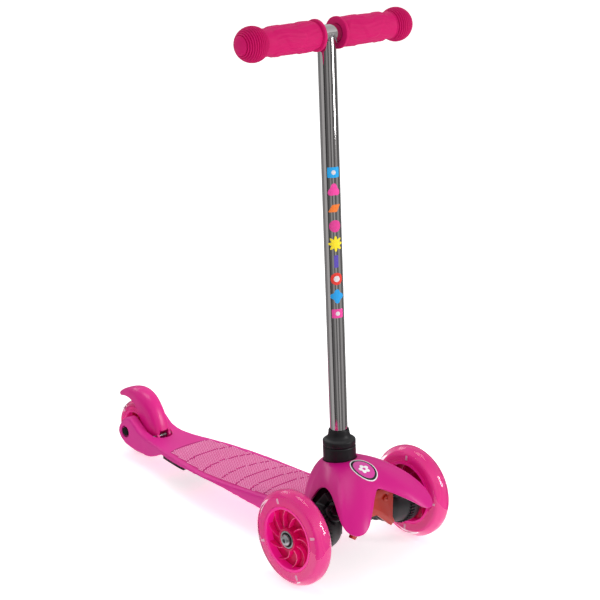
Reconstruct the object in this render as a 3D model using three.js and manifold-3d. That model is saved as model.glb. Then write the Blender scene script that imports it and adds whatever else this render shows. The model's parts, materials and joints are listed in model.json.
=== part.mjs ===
// Three wheel kids scooter: two front wheels on lean-to-steer knuckles, one rear wheel with a brake fender,
// a moulded deck, a smooth front cover, and a T-shaped handlebar clamped in a socket.
// Millimetres, +Z up. The rider looks along -Y, so the rider's left is +X. The wheels stand on z = 0.
// Lengths along Y are counted from the front axle line; the last lines put the origin under the middle.

import * as THREE from 'three';
import { mergeVertices } from 'three/addons/utils/BufferGeometryUtils.js';
import Module from 'manifold-3d';

const wasm = await Module();
wasm.setup();

// Stance
const frontWheelRadius = 60;
const rearWheelRadius = 40;
const wheelWidth = 24;
const frontTrack = 202;

// Clearances
const seatGap = 0.3;
const runningGap = 0.4;
const clearGap = 0.8;
const cutOverrun = 6;
const weldDistance = 0.0001;

// Wheels
const tyreEdgeRound = 4;
const tyreShoulder = 6;
const tyreCrown = 1;
const frontRimRadius = 41.5;
const rearRimRadius = 27.5;
const rimThickness = 4;
const rimWidth = 20;
const hubBossRadius = 15;
const hubWebThickness = 2.6;
const hubOverlap = 1;
const spokeThickness = 3;
const spokeWidth = 15;
const frontSpokeCount = 10;
const rearSpokeCount = 7;
const spokeSweep = THREE.MathUtils.degToRad(28);
const bearingRadius = 11;
const bearingWidth = 7;
const bearingShoulder = 2;
const axleRadius = 4;
const magnetRadius = 8;
const lightRingThickness = 1.8;
const lightRingWidth = 8;
const lightPodHeight = 2.4;
const lightPodLength = 8;
const lightPodCount = 4;
const frontRightPodTurn = THREE.MathUtils.degToRad(-21);
const frontLeftPodTurn = 0;
const rearPodTurn = THREE.MathUtils.degToRad(40);
const boltHeadRadius = 7;
const boltHeadHeight = 4;

// Knuckles and kingpins
const kingpinTrack = 108;
const kingpinLean = THREE.MathUtils.degToRad(40);
const kingpinRadius = 4;
const knuckleSpan = 52;
const drumInnerRadius = 24;
const drumThroatRadius = 27;
const drumMiddleRadius = 30;
const drumFlangeRadius = 33.5;
const drumEdgeRound = 4;
const drumInboard = 14;
const drumFlangeGap = 5;
const drumFlangeThickness = 6;
const lugThickness = 5;
const lugRadius = 11;
const lugWebWidth = 15;
const spotFaceMargin = 2.5;
const kingpinNutHeight = 6;
const kingpinNutRadius = 7.5;
const kingpinEnd = 3;
const hornReach = 20;
const hornWidth = 11;
const hornThickness = 10;
const hornHeight = 37;
const hornInset = 8;
const armReach = 22;
const armWidth = 12;
const armThickness = 10;
const armTop = 2;
const armUnderDeck = 6.1;
const armUnderDeckShare = 0.027;
const stubAxleDepth = 16;

// Tie rod
const tieRodThickness = 3.6;
const tieRodWidth = 12;
const tiePinRadius = 2.5;
const tiePinHeadRadius = 4.5;
const tiePinHeadHeight = 2;
const tiePinDepth = 26.7;
const tieHoleClearance = 1.3;

// Centring springs
const centringWire = 1.6;
const centringCoilRadius = 5.2;
const centringCurls = 5;
const leastWireGap = 0.4;

// Stem, socket, nut and handlebar
const stemRake = THREE.MathUtils.degToRad(3.32);
const stemFootY = 26.5;
const stemFootZ = 100;
const stemLength = 548;
const stemRadius = 11;
const tubeWall = 1.5;
const stemInsert = 24;
const stemPlugDepth = 20;
const stemPlugFlange = 2.5;
const socketRadius = 20.5;
const socketSpigotRadius = 17;
const socketTop = 43;
const socketShoulder = 2;
const socketFloor = 3;
const socketNeckRadius = 15.6;
const socketNeckHeight = 5.5;
const socketGroove = 1;
const nutHeight = 20.5;
const nutRimHeight = 8;
const nutTopRadius = 12.8;
const nutFlutes = 12;
const nutFluteRadius = 2;
const nutFluteBite = 0.9;
const colletHeight = 4.5;
const colletTopWall = 1.6;
const colletSlit = 2.2;
const crossbarLength = 212;
const gripInner = 15;
const gripFlangeThickness = 4;
const gripFlangeRadius = 19;
const gripNeckRadius = 16.2;
const gripPalmRadius = 17.4;
const gripBallRadius = 20.7;
const gripBoreSpare = 4;
const gripBallSpare = 3;

// Head frame and orange front plate
const frameHalfWidth = 30;
const frameFront = 27.5;
const frameShoulder = 33;
const frameRear = 47;
const frameRearHalfWidth = 23;
const frameTop = 101;
const legOuter = 27;
const legInner = 15;
const legFront = 6;
const legRear = 28;
const legBottom = 34;
const footHalfWidth = 17;
const footRear = 64;
const footThickness = 5;
const plateHalfWidth = 33;
const plateThickness = 6;
const plateTop = 100;
const plateBottom = 45;
const plateHornReach = 4;
const plateNotchHalf = 6;
const plateNotchHeight = 67;
const plateCornerWidth = 6;
const smallScrewRadius = 2.2;
const smallScrewHeadRadius = 4.2;
const smallScrewHeadHeight = 2.4;
const smallScrewLength = 12;
const screwSkin = 2;
const plateScrewSpacing = 40;
const plateScrewHeight = 86;
const footScrewSpacing = 20;
const footScrewY = 57;

// Deck
const deckFrontY = 40;
const deckLength = 362;
const deckHalfWidth = 53.7;
const deckFrontHeight = 60;
const deckEdgeRound = 2;
const deckSkin = 4;
const deckWall = 5;
const deckRibDepth = 13;
const deckRibThickness = 3;
const deckRibInset = 10;
const deckKeelSpacing = 46;
const deckCrossRibs = 5;
const deckPocketStartShare = 0.1;
const deckPocketEndShare = 0.898;
const grooveWidth = 1.6;
const grooveDepth = 0.9;
const grooveRadius = 95;
const grooveEdgeMargin = 7;
const wheelSlotHalfWidth = 15.6;
const earThickness = 14.4;
const earBevel = 2.5;
const earRecessRadius = 8.5;
const earRecessDepth = 4.5;
const axleBehindDeck = 38;
const braceStartShare = 0.68;
const braceEndShare = 0.837;
const braceSideInset = 3;
const braceThickness = 4;
const braceScrewSpacing = 46;
const bracePadHalfWidth = 16;
const bracePadHalfLength = 18;

// Brake
const fenderHalfWidth = 15;
const fenderCavityHalfWidth = 12.8;
const brakePinRadius = 2.5;
const brakePinReach = 5.5;
const brakeBarrelRadius = 7;
const brakeHingeBack = 47;
const brakeHingeRise = 1;
const brakeCoilHalfWidth = 7.5;
const brakePadGap = 3;
const brakePadThickness = 7;
const brakePadHalfWidth = 9;
const brakePadStart = THREE.MathUtils.degToRad(78);
const brakePadSweep = THREE.MathUtils.degToRad(27);
const footPocketFront = 12.5;
const footPocketRoundShare = 0.9;
const footPocketDepth = 9.5;
const brakeBarrelHalfWidth = 11.5;
const brakeWire = 1.4;
const brakeCoilRadius = 4;
const brakeCurls = 5;

// Front cover
const coverHalfWidth = 74;
const coverReach = 74;
const coverRearReach = 76;
const coverTop = 125.5;
const coverThickness = 3;
const coverCollarGap = 0.9;
const coverCollarTilt = 3;
const coverShoulderShare = 0.31;
const coverNoseShare = 0.38;
const coverShoulderFall = 0.06;
const coverRearDropShare = 0.62;
const coverFrontDropShare = 0.43;
const coverLipShare = 0.16;
const badgeHalfWidth = 14.5;
const badgeLengthShare = 1.3;
const badgeThickness = 1.6;
const badgeProud = 0.5;
const badgeAlongShare = 0.42;
const badgeBacking = 1.6;

// Facets: counts of steps round a circle
const tyreSteps = 28;
const shaftSteps = 12;
const screwSteps = 6;
const bossSteps = 18;
const gripSteps = 18;
const coverSteps = 44;
const coverRings = 6;
const curlSteps = 8;
const wireSides = 5;

// Places worked out from the sizes above
const rearAxleY = deckFrontY + deckLength + axleBehindDeck;
const halfWheel = wheelWidth / 2;
const kingpinX = kingpinTrack / 2;
const frontWheelX = frontTrack / 2;
const stubX = frontWheelX - kingpinX;
const lugInner = knuckleSpan / 2 + seatGap;
const lugOuter = lugInner + lugThickness;
const brakeHingeY = rearAxleY - brakeHingeBack;
const brakeHingeZ = rearWheelRadius + brakeHingeRise;
const gripBoreEnd = crossbarLength / 2 + gripBoreSpare;
const gripBallCentre = gripBoreEnd + gripBallSpare;

// Deck stations: share along the deck, then shares of the half width and of the front height (top, low edge)
const deckShares = [
  [0.0, 0.55, 1.0, 0.9],
  [0.04, 0.64, 1.0, 0.88],
  [0.083, 0.75, 0.99, 0.66],
  [0.138, 0.857, 0.963, 0.625],
  [0.221, 0.918, 0.927, 0.617],
  [0.304, 0.946, 0.887, 0.647],
  [0.387, 0.974, 0.85, 0.692],
  [0.47, 1.0, 0.812, 0.728],
  [0.552, 0.993, 0.783, 0.717],
  [0.635, 0.942, 0.77, 0.692],
  [0.718, 0.87, 0.758, 0.653],
  [0.787, 0.788, 0.742, 0.625],
  [0.843, 0.719, 0.728, 0.61],
  [0.898, 0.642, 0.722, 0.45],
  [0.953, 0.587, 0.73, 0.325],
  [1.0, 0.559, 0.75, 0.303],
];

function deckAt(share) {
  let i = 0;
  while (i + 2 < deckShares.length && deckShares[i + 1][0] < share) i += 1;
  const [low, high] = [deckShares[i], deckShares[i + 1]];
  const part = THREE.MathUtils.clamp((share - low[0]) / (high[0] - low[0]), 0, 1);
  const mix = (k) => low[k] + (high[k] - low[k]) * part;
  return {
    y: deckFrontY + deckLength * share,
    half: deckHalfWidth * mix(1),
    top: deckFrontHeight * mix(2),
    low: deckFrontHeight * mix(3),
  };
}

// The steering arms reach down until the tie rod passes under the deck's front edge
const armRise = (armReach + armWidth / 2) * Math.sin(kingpinLean);
const tieRodTop = deckAt(armUnderDeckShare).low - armUnderDeck;
const armDrop = (frontWheelRadius + armRise - tieRodTop) / Math.cos(kingpinLean) - seatGap;

// Middles of the tread grooves, as shares along the deck; the last closes the tread with a straight line
const grooveShares = [0.257, 0.329, 0.409, 0.492, 0.599, 0.704];
const treadEndShare = 0.82;

// Hollow slope of the collar nut: share of the way out from the neck, share of the height above the rim
const nutSlopeShares = [[0.38, 0.17], [0.09, 0.42]];

// Outline of a rear fork ear about the rear axle, in shares of the rear wheel's radius
const earShares = [
  [-0.95, -0.55], [-0.4, -0.55], [0.025, -0.475], [0.3, -0.3], [0.425, -0.1], [0.375, 0.125], [0.175, 0.375],
  [-0.05, 0.5625], [-0.275, 0.5875], [-0.55, 0.4125], [-0.85, 0.2], [-1.2, 0.1125], [-1.625, 0.075],
  [-1.625, -0.375], [-1.3, -0.5125],
];

// Brake fender about the rear axle, from tip to foot: crown (y, z) and skirt (y, z) in shares of the rear
// wheel's radius, then the half width as a share of the fender's own
const fenderShares = [
  [1.14, 0.99, 1.12, 0.96, 0.24],
  [1.0, 1.14, 0.93, 0.985, 0.52],
  [0.68, 1.32, 0.61, 1.07, 0.7],
  [0.3, 1.46, 0.325, 1.1, 0.84],
  [-0.03, 1.51, 0.075, 1.06, 0.93],
  [-0.35, 1.46, -0.15, 0.95, 1.0],
  [-0.67, 1.32, -0.325, 0.75, 1.0],
  [-0.94, 1.08, -0.425, 0.525, 0.98],
  [-1.14, 0.79, -0.6, 0.3, 0.97],
  [-1.27, 0.5, -0.8, 0.16, 0.95],
  [-1.36, 0.2, -1.12, 0.0, 0.77],
];
// Cross section of the fender: share of the half width, share of the way from skirt to crown
const domeShares = [[-1.0, 0.0], [-1.0, 0.4], [-0.85, 0.68], [-0.5, 0.9], [0.0, 1.0]];
const fenderCavityShares = [
  [-1.06, -0.6], [-1.06, 0.25], [-0.97, 0.55], [-0.8, 0.8], [-0.58, 1.0], [-0.35, 1.22],
  [0.0, 1.28], [0.3, 1.25], [0.5, 1.05], [1.1, 0.7], [1.3, -0.6],
];

// Hem of the front cover, right half from the front arch round to the rear: shares of the half width, of the
// forward reach (rearward points: of the rear reach) and of the cover's height
const hemShares = [
  [0.0, -0.555, 0.853], [0.17, -0.65, 0.809], [0.34, -0.785, 0.749], [0.487, -0.892, 0.693],
  [0.622, -0.973, 0.637], [0.757, -1.0, 0.602], [0.878, -0.96, 0.598], [0.966, -0.851, 0.629],
  [0.986, -0.73, 0.685], [0.932, -0.568, 0.757], [0.838, -0.378, 0.825], [0.757, -0.189, 0.873],
  [0.716, -0.027, 0.884], [0.703, 0.118, 0.845], [0.703, 0.263, 0.733], [0.682, 0.395, 0.614],
  [0.635, 0.5, 0.518], [0.568, 0.605, 0.47],
];
const hemFootShares = [[0.46, 0.737], [0.324, 0.855], [0.162, 0.934], [0.0, 0.96]];

// Colours and finishes
const pinkPlastic = new THREE.MeshStandardMaterial({ color: 0xe5309c, roughness: 0.38 });
const pinkTread = new THREE.MeshStandardMaterial({ color: 0xd85aa6, roughness: 0.6 });
const pinkCore = new THREE.MeshStandardMaterial({ color: 0xd0135f, roughness: 0.3 });
const pinkTyre = new THREE.MeshStandardMaterial({ color: 0xf3378c, roughness: 0.18, transparent: true, opacity: 0.8 });
const pinkRubber = new THREE.MeshStandardMaterial({ color: 0xc9166a, roughness: 0.62 });
const blackPlastic = new THREE.MeshStandardMaterial({ color: 0x22252a, roughness: 0.5 });
const orangePlastic = new THREE.MeshStandardMaterial({ color: 0xd94a1e, roughness: 0.45 });
const whitePlastic = new THREE.MeshStandardMaterial({ color: 0xf2f0ea, roughness: 0.4 });
const chrome = new THREE.MeshStandardMaterial({ color: 0xc9ccd0, roughness: 0.08, metalness: 1 });
const zincSteel = new THREE.MeshStandardMaterial({ color: 0x9ea2a6, roughness: 0.3, metalness: 1 });
const darkRubber = new THREE.MeshStandardMaterial({ color: 0x1c1c1c, roughness: 0.8 });

// Solids: a closed geometry becomes a solid with its faces pointing out, whichever way it was drawn
function signedVolume(at, faces) {
  const a = new THREE.Vector3();
  const b = new THREE.Vector3();
  const c = new THREE.Vector3();
  let sum = 0;
  for (let i = 0; i < faces.length; i += 3) {
    a.fromArray(at, 3 * faces[i]);
    b.fromArray(at, 3 * faces[i + 1]);
    c.fromArray(at, 3 * faces[i + 2]);
    sum += a.dot(b.cross(c));
  }
  return sum;
}

function solid(geometry) {
  const bare = geometry.clone();
  bare.deleteAttribute('normal');
  bare.deleteAttribute('uv');
  const merged = mergeVertices(bare, weldDistance);
  const at = merged.attributes.position.array;
  const index = merged.index.array;
  const faces = [];
  for (let i = 0; i < index.length; i += 3) {
    const [p, q, r] = [index[i], index[i + 1], index[i + 2]];
    if (p !== q && q !== r && r !== p) faces.push(p, q, r);
  }
  if (signedVolume(at, faces) < 0) faces.reverse();
  const mesh = new wasm.Mesh({ numProp: 3, vertProperties: at, triVerts: new Uint32Array(faces) });
  return new wasm.Manifold(mesh);
}

function join(...shapes) {
  return shapes.map((shape) => solid(shape)).reduce((sum, next) => sum.add(next));
}

function cut(body, ...tools) {
  return tools.map((tool) => solid(tool)).reduce((rest, tool) => rest.subtract(tool), body);
}

function geometryOf(body) {
  const mesh = body.getMesh();
  const geometry = new THREE.BufferGeometry();
  geometry.setAttribute('position', new THREE.BufferAttribute(new Float32Array(mesh.vertProperties), 3));
  geometry.setIndex(Array.from(mesh.triVerts));
  const faceted = geometry.toNonIndexed();
  faceted.computeVertexNormals();
  return faceted;
}

function place(parent, name, shape, material) {
  const geometry = shape.isBufferGeometry ? geometryOf(solid(shape)) : geometryOf(shape);
  const mesh = new THREE.Mesh(geometry, material);
  mesh.name = name;
  parent.add(mesh);
  return mesh;
}

// Mirror images across the middle plane share one shape
function mirrored(shape, side) {
  const geometry = shape.isBufferGeometry ? shape.clone() : geometryOf(shape);
  return side > 0 ? geometry : geometry.scale(-1, 1, 1);
}

// Basic shapes, each closed
function block(x0, x1, y0, y1, z0, z1) {
  const geometry = new THREE.BoxGeometry(x1 - x0, y1 - y0, z1 - z0);
  return geometry.translate((x0 + x1) / 2, (y0 + y1) / 2, (z0 + z1) / 2);
}

function turnedZ(profile, steps) {
  const points = profile.map(([radius, height]) => new THREE.Vector2(radius, height));
  return new THREE.LatheGeometry(points, steps).rotateX(Math.PI / 2);
}

function turnedX(profile, steps) {
  const points = profile.map(([radius, along]) => new THREE.Vector2(radius, along));
  return new THREE.LatheGeometry(points, steps).rotateZ(-Math.PI / 2);
}

function rodZ(radius, z0, z1, steps) {
  return turnedZ([[0, z0], [radius, z0], [radius, z1], [0, z1]], steps);
}

function rodX(radius, x0, x1, steps) {
  return turnedX([[0, x0], [radius, x0], [radius, x1], [0, x1]], steps);
}

function sleeveX(inner, outer, x0, x1, steps) {
  return turnedX([[inner, x0], [outer, x0], [outer, x1], [inner, x1], [inner, x0]], steps);
}

// An outline in the Y-Z plane, drawn out along X from x0 to x1
function slabX(points, x0, x1, bevel = 0) {
  const shape = new THREE.Shape(points.map(([y, z]) => new THREE.Vector2(y, z)));
  const geometry = new THREE.ExtrudeGeometry(shape, {
    depth: x1 - x0 - 2 * bevel,
    bevelEnabled: bevel > 0,
    bevelThickness: bevel,
    bevelSize: bevel,
    bevelOffset: -bevel,
    bevelSegments: 2,
  });
  geometry.translate(0, 0, x0 + bevel);
  return geometry.applyMatrix4(new THREE.Matrix4().set(0, 0, 1, 0, 1, 0, 0, 0, 0, 1, 0, 0, 0, 0, 0, 1));
}

// Rings of equal point counts skinned into a closed body with flat ends
function skinned(rings) {
  const count = rings[0].length;
  const at = rings.flat().flatMap((p) => [p.x, p.y, p.z]);
  const index = [];
  for (let r = 0; r + 1 < rings.length; r += 1) {
    for (let i = 0; i < count; i += 1) {
      const next = (i + 1) % count;
      const [a, b] = [r * count + i, r * count + next];
      index.push(a, b, b + count, a, b + count, a + count);
    }
  }
  const last = (rings.length - 1) * count;
  for (let i = 1; i + 1 < count; i += 1) {
    index.push(0, i + 1, i);
    index.push(last, last + i, last + i + 1);
  }
  const geometry = new THREE.BufferGeometry();
  geometry.setAttribute('position', new THREE.Float32BufferAttribute(at, 3));
  geometry.setIndex(index);
  return geometry;
}

// A wire of few sides along points, carried without twist
function wireAlong(points, radius) {
  const rings = [];
  let side = new THREE.Vector3(0, 1, 0);
  points.forEach((point, i) => {
    const before = points[Math.max(i - 1, 0)];
    const after = points[Math.min(i + 1, points.length - 1)];
    const ahead = after.clone().sub(before).normalize();
    side = side.sub(ahead.clone().multiplyScalar(side.dot(ahead))).normalize();
    const across = ahead.clone().cross(side);
    const ring = [];
    for (let k = 0; k < wireSides; k += 1) {
      const turn = (2 * Math.PI * k) / wireSides;
      const reach = side.clone().multiplyScalar(radius * Math.cos(turn));
      ring.push(point.clone().add(reach).addScaledVector(across, radius * Math.sin(turn)));
    }
    rings.push(ring);
  });
  return skinned(rings);
}

// A coil along X about (y, z), with both ends run straight for one wire diameter
function coilPoints(x0, x1, y, z, radius, curls, wire, startTurn) {
  const points = [];
  const [first, last] = [x0 + wire, x1 - wire];
  for (let i = 0; i <= curls * curlSteps; i += 1) {
    const turn = startTurn + (2 * Math.PI * i) / curlSteps;
    const x = first + ((last - first) * i) / (curls * curlSteps);
    points.push(new THREE.Vector3(x, y + radius * Math.cos(turn), z + radius * Math.sin(turn)));
  }
  const [start, end] = [points[0], points[points.length - 1]];
  points.unshift(new THREE.Vector3(x0, start.y, start.z));
  points.push(new THREE.Vector3(x1, end.y, end.z));
  return points;
}

function reportLeastGap(name, points, wire) {
  let least = Infinity;
  for (let i = 0; i < points.length; i += 1) {
    for (let k = i + curlSteps / 2; k < points.length; k += 1) {
      least = Math.min(least, points[i].distanceTo(points[k]) - wire);
    }
  }
  console.log(`${name}: least gap to itself ${least.toFixed(2)} mm, wanted over ${leastWireGap}`);
}

// Wheels

// Curved spokes are built as bent bars from the boss to the rim
function spoke(rimRadius, startTurn) {
  const steps = 3;
  const rings = [];
  for (let i = 0; i <= steps; i += 1) {
    const share = i / steps;
    const radius = hubBossRadius - spokeThickness / 2 + (rimRadius - rimThickness / 2 - hubBossRadius) * share;
    const turn = startTurn + spokeSweep * share * share;
    const out = new THREE.Vector3(0, Math.cos(turn), Math.sin(turn));
    const across = new THREE.Vector3(0, -Math.sin(turn), Math.cos(turn)).multiplyScalar(spokeThickness / 2);
    const middle = out.multiplyScalar(radius);
    const half = new THREE.Vector3(spokeWidth / 2, 0, 0);
    rings.push([
      middle.clone().sub(half).sub(across),
      middle.clone().add(half).sub(across),
      middle.clone().add(half).add(across),
      middle.clone().sub(half).add(across),
    ]);
  }
  return skinned(rings);
}

function hubShape(rimRadius, spokeCount) {
  const halfRim = rimWidth / 2;
  const halfWeb = hubWebThickness / 2;
  const parts = [
    sleeveX(bearingRadius - bearingShoulder, hubBossRadius, -halfWheel, halfWheel, bossSteps),
    sleeveX(hubBossRadius - hubOverlap, rimRadius - rimThickness / 2, -halfWeb, halfWeb, tyreSteps),
    sleeveX(rimRadius - rimThickness, rimRadius, -halfRim, halfRim, tyreSteps),
  ];
  for (let i = 0; i < spokeCount; i += 1) {
    parts.push(spoke(rimRadius, (2 * Math.PI * i) / spokeCount));
  }
  const seat = halfWheel - bearingWidth - seatGap;
  const outer = halfWheel + cutOverrun;
  return cut(
    join(...parts),
    rodX(bearingRadius + seatGap, seat, outer, bossSteps),
    rodX(bearingRadius + seatGap, -outer, -seat, bossSteps),
  );
}

function tyreShape(radius, rimRadius) {
  const bore = rimRadius + runningGap;
  const channel = bore + lightRingThickness + lightPodHeight + clearGap;
  const halfChannel = lightRingWidth / 2 + clearGap;
  const halfRim = rimWidth / 2;
  const shoulder = radius - tyreShoulder;
  const edge = radius - tyreCrown;
  return turnedX([
    [bore, -halfRim], [bore, -halfChannel], [channel, -halfChannel], [channel, halfChannel],
    [bore, halfChannel], [bore, halfRim], [bore + tyreEdgeRound, halfWheel], [shoulder, halfWheel],
    [edge, halfWheel - tyreEdgeRound], [radius, 0], [edge, -halfWheel + tyreEdgeRound],
    [shoulder, -halfWheel], [bore + tyreEdgeRound, -halfWheel], [bore, -halfRim],
  ], tyreSteps);
}

function lightRingShape(rimRadius, podTurn) {
  const inner = rimRadius + runningGap;
  const outer = inner + lightRingThickness;
  const half = lightRingWidth / 2;
  const parts = [sleeveX(inner, outer, -half, half, tyreSteps)];
  for (let i = 0; i < lightPodCount; i += 1) {
    const pod = block(
      -half + lightRingThickness / 2, half - lightRingThickness / 2,
      -lightPodLength / 2, lightPodLength / 2,
      outer - lightRingThickness / 2, outer + lightPodHeight,
    );
    parts.push(pod.rotateX(podTurn + (2 * Math.PI * i) / lightPodCount));
  }
  return join(...parts);
}

function addWheel(parent, label, x, y, radius, rimRadius, spokeCount, podTurn) {
  const wheel = new THREE.Group();
  wheel.position.set(x, y, radius);
  parent.add(wheel);
  place(wheel, `${label}_tyre`, tyreShape(radius, rimRadius), pinkTyre);
  place(wheel, `${label}_hub`, hubShape(rimRadius, spokeCount), pinkCore);
  place(wheel, `${label}_light_ring`, lightRingShape(rimRadius, podTurn), whitePlastic);
  const inner = axleRadius + seatGap;
  const seat = halfWheel - bearingWidth;
  place(wheel, `${label}_bearing_left`, sleeveX(inner, bearingRadius, seat, halfWheel, shaftSteps), zincSteel);
  place(wheel, `${label}_bearing_right`, sleeveX(inner, bearingRadius, -halfWheel, -seat, shaftSteps), zincSteel);
  const sleeve = sleeveX(inner, magnetRadius, -seat + seatGap, seat - seatGap, shaftSteps);
  place(wheel, `${label}_magnet_sleeve`, sleeve, zincSteel);
}

function hexBoltX(x0, x1, headRadius, headHeight, shaftRadius) {
  const head = rodX(headRadius, x1, x1 + headHeight, 6);
  return join(rodX(shaftRadius, x0, x1 + headHeight / 2, shaftSteps), head);
}

// Knuckles. Shapes here are drawn about the kingpin: X outboard, Y square to the pin, Z up the pin
function knuckleShape() {
  const flangeFace = stubX - halfWheel - drumFlangeGap;
  const flangeBack = flangeFace - drumFlangeThickness;
  const boss = stubX - halfWheel - runningGap;
  const drum = turnedX([
    [0, -drumInboard], [drumInnerRadius - drumEdgeRound, -drumInboard],
    [drumInnerRadius, -drumInboard + drumEdgeRound], [drumThroatRadius, -drumEdgeRound],
    [drumMiddleRadius, flangeBack / 2], [drumFlangeRadius - drumEdgeRound / 2, flangeBack],
    [drumFlangeRadius, flangeBack + drumEdgeRound / 2], [drumFlangeRadius, flangeFace],
    [axleRadius + drumEdgeRound, flangeFace], [axleRadius + drumEdgeRound, boss], [0, boss],
  ], bossSteps);
  const horn = block(
    -hornInset, -hornInset + hornThickness, hornReach - hornWidth / 2, hornReach + hornWidth / 2, 0, hornHeight,
  );
  const arm = block(
    -armThickness / 2, armThickness / 2, armReach - armWidth / 2, armReach + armWidth / 2, -armDrop, -armTop,
  );
  const spot = lugRadius + spotFaceMargin;
  const far = drumFlangeRadius + cutOverrun;
  return cut(
    join(drum, horn, arm),
    rodZ(spot, knuckleSpan / 2, far, bossSteps),
    rodZ(spot, -far, -knuckleSpan / 2, bossSteps),
    rodZ(kingpinRadius + seatGap, -far, far, shaftSteps),
    rodX(axleRadius + seatGap, stubX - halfWheel - drumFlangeGap - stubAxleDepth, stubX, shaftSteps),
    rodZ(tiePinRadius + seatGap, -far - armDrop, 0, shaftSteps).translate(0, armReach, 0),
  );
}

function addKnuckle(parent, label, side) {
  const pin = new THREE.Group();
  pin.position.set(side * kingpinX, 0, frontWheelRadius);
  pin.rotation.x = kingpinLean;
  parent.add(pin);
  place(pin, `knuckle_${label}`, mirrored(knuckleShape(), side), blackPlastic);
  const inboard = stubX - halfWheel - drumFlangeGap - stubAxleDepth + seatGap;
  const bolt = hexBoltX(inboard, stubX + halfWheel + seatGap, boltHeadRadius, boltHeadHeight, axleRadius);
  place(pin, `axle_bolt_${label}`, mirrored(bolt, side), zincSteel);
  const headFace = lugOuter + seatGap;
  const nutFace = -lugOuter - seatGap;
  const kingpin = join(
    rodZ(kingpinRadius, nutFace - kingpinNutHeight - kingpinEnd, headFace + boltHeadHeight / 2, shaftSteps),
    rodZ(boltHeadRadius, headFace, headFace + boltHeadHeight, 6),
  );
  place(pin, `kingpin_${label}`, kingpin, zincSteel);
  const nut = cut(
    solid(rodZ(kingpinNutRadius, nutFace - kingpinNutHeight, nutFace, 6)),
    rodZ(kingpinRadius + seatGap, nutFace - kingpinNutHeight - cutOverrun, nutFace + cutOverrun, shaftSteps),
  );
  place(pin, `kingpin_nut_${label}`, nut, zincSteel);
  const rodFace = -armDrop - seatGap - tieRodThickness - seatGap;
  const tiePin = join(
    rodZ(tiePinRadius, rodFace - tiePinHeadHeight / 2, -armDrop + tiePinDepth, shaftSteps),
    rodZ(tiePinHeadRadius, rodFace - tiePinHeadHeight, rodFace, shaftSteps),
  ).translate(0, armReach, 0);
  place(pin, `tie_pin_${label}`, tiePin, zincSteel);
}

function addTieRod(parent) {
  const frame = new THREE.Group();
  frame.position.set(0, 0, frontWheelRadius);
  frame.rotation.x = kingpinLean;
  parent.add(frame);
  const top = -armDrop - seatGap;
  const bottom = top - tieRodThickness;
  const end = kingpinX + tieRodWidth / 2;
  const bar = block(-end, end, armReach - tieRodWidth / 2, armReach + tieRodWidth / 2, bottom, top);
  const holes = [-kingpinX, kingpinX].map((x) => {
    const hole = rodZ(tiePinRadius + tieHoleClearance, bottom - cutOverrun, top + cutOverrun, shaftSteps);
    return hole.translate(x, armReach, 0);
  });
  place(frame, 'tie_rod', cut(solid(bar), ...holes), blackPlastic);
}

function addCentringSpring(parent, label, side) {
  const frame = new THREE.Group();
  frame.position.set(0, 0, frontWheelRadius);
  frame.rotation.x = kingpinLean;
  parent.add(frame);
  const height = hornHeight - centringCoilRadius - centringWire;
  const from = frameHalfWidth + seatGap;
  const to = kingpinX - hornInset - seatGap;
  const points = coilPoints(
    from, to, hornReach, height, centringCoilRadius, centringCurls, centringWire, Math.PI / 2,
  );
  reportLeastGap(`centring_spring_${label}`, points, centringWire);
  const wire = wireAlong(points, centringWire / 2);
  place(frame, `centring_spring_${label}`, mirrored(wire, side), zincSteel);
}

// Head frame: the black moulding under the cover that carries the socket, the kingpins and the deck
function lugShape(side, up) {
  const [z0, z1] = up ? [lugInner, lugOuter] : [-lugOuter, -lugInner];
  const eye = rodZ(lugRadius, z0, z1, bossSteps).translate(side * kingpinX, 0, 0);
  const inner = side * (legOuter - lugThickness);
  const outer = side * kingpinX;
  const web = block(
    Math.min(inner, outer), Math.max(inner, outer), -lugWebWidth / 2, lugWebWidth / 2, z0, z1,
  );
  return join(eye, web);
}

function intoKingpinFrame(body) {
  const turn = new THREE.Matrix4().makeRotationX(kingpinLean).setPosition(0, 0, frontWheelRadius);
  return geometryOf(body).applyMatrix4(turn);
}

function intoStemFrame(geometry) {
  const turn = new THREE.Matrix4().makeRotationX(-stemRake).setPosition(0, stemFootY, stemFootZ);
  return geometry.applyMatrix4(turn);
}

function headFrameShape() {
  const lugs = [[1, true], [1, false], [-1, true], [-1, false]].map(([side, up]) => {
    return intoKingpinFrame(lugShape(side, up));
  });
  const bores = [1, -1].map((side) => {
    const bore = rodZ(kingpinRadius + seatGap, -lugOuter - cutOverrun, lugOuter + cutOverrun, shaftSteps);
    return intoKingpinFrame(solid(bore.translate(side * kingpinX, 0, 0)));
  });
  const bottom = deckFrontHeight + seatGap;
  const legs = [[legInner, legOuter], [-legOuter, -legInner]].map(([x0, x1]) => {
    return block(x0, x1, legFront, legRear, legBottom, bottom + seatGap);
  });
  const foot = footHalfWidth;
  const spigot = rodZ(socketSpigotRadius + seatGap, -stemInsert - 2 * cutOverrun, 3 * cutOverrun, bossSteps);
  return cut(
    join(
      block(-frameHalfWidth, frameHalfWidth, -frameFront, frameShoulder, bottom, frameTop),
      block(-frameRearHalfWidth, frameRearHalfWidth, frameShoulder - seatGap, frameRear, bottom, frameTop),
      block(-foot, foot, frameRear - seatGap, footRear, bottom, bottom + footThickness),
      ...legs,
      ...lugs,
    ),
    intoStemFrame(spigot),
    ...bores,
    ...screwHoles('foot'),
    ...screwHoles('plate'),
  );
}

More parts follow.
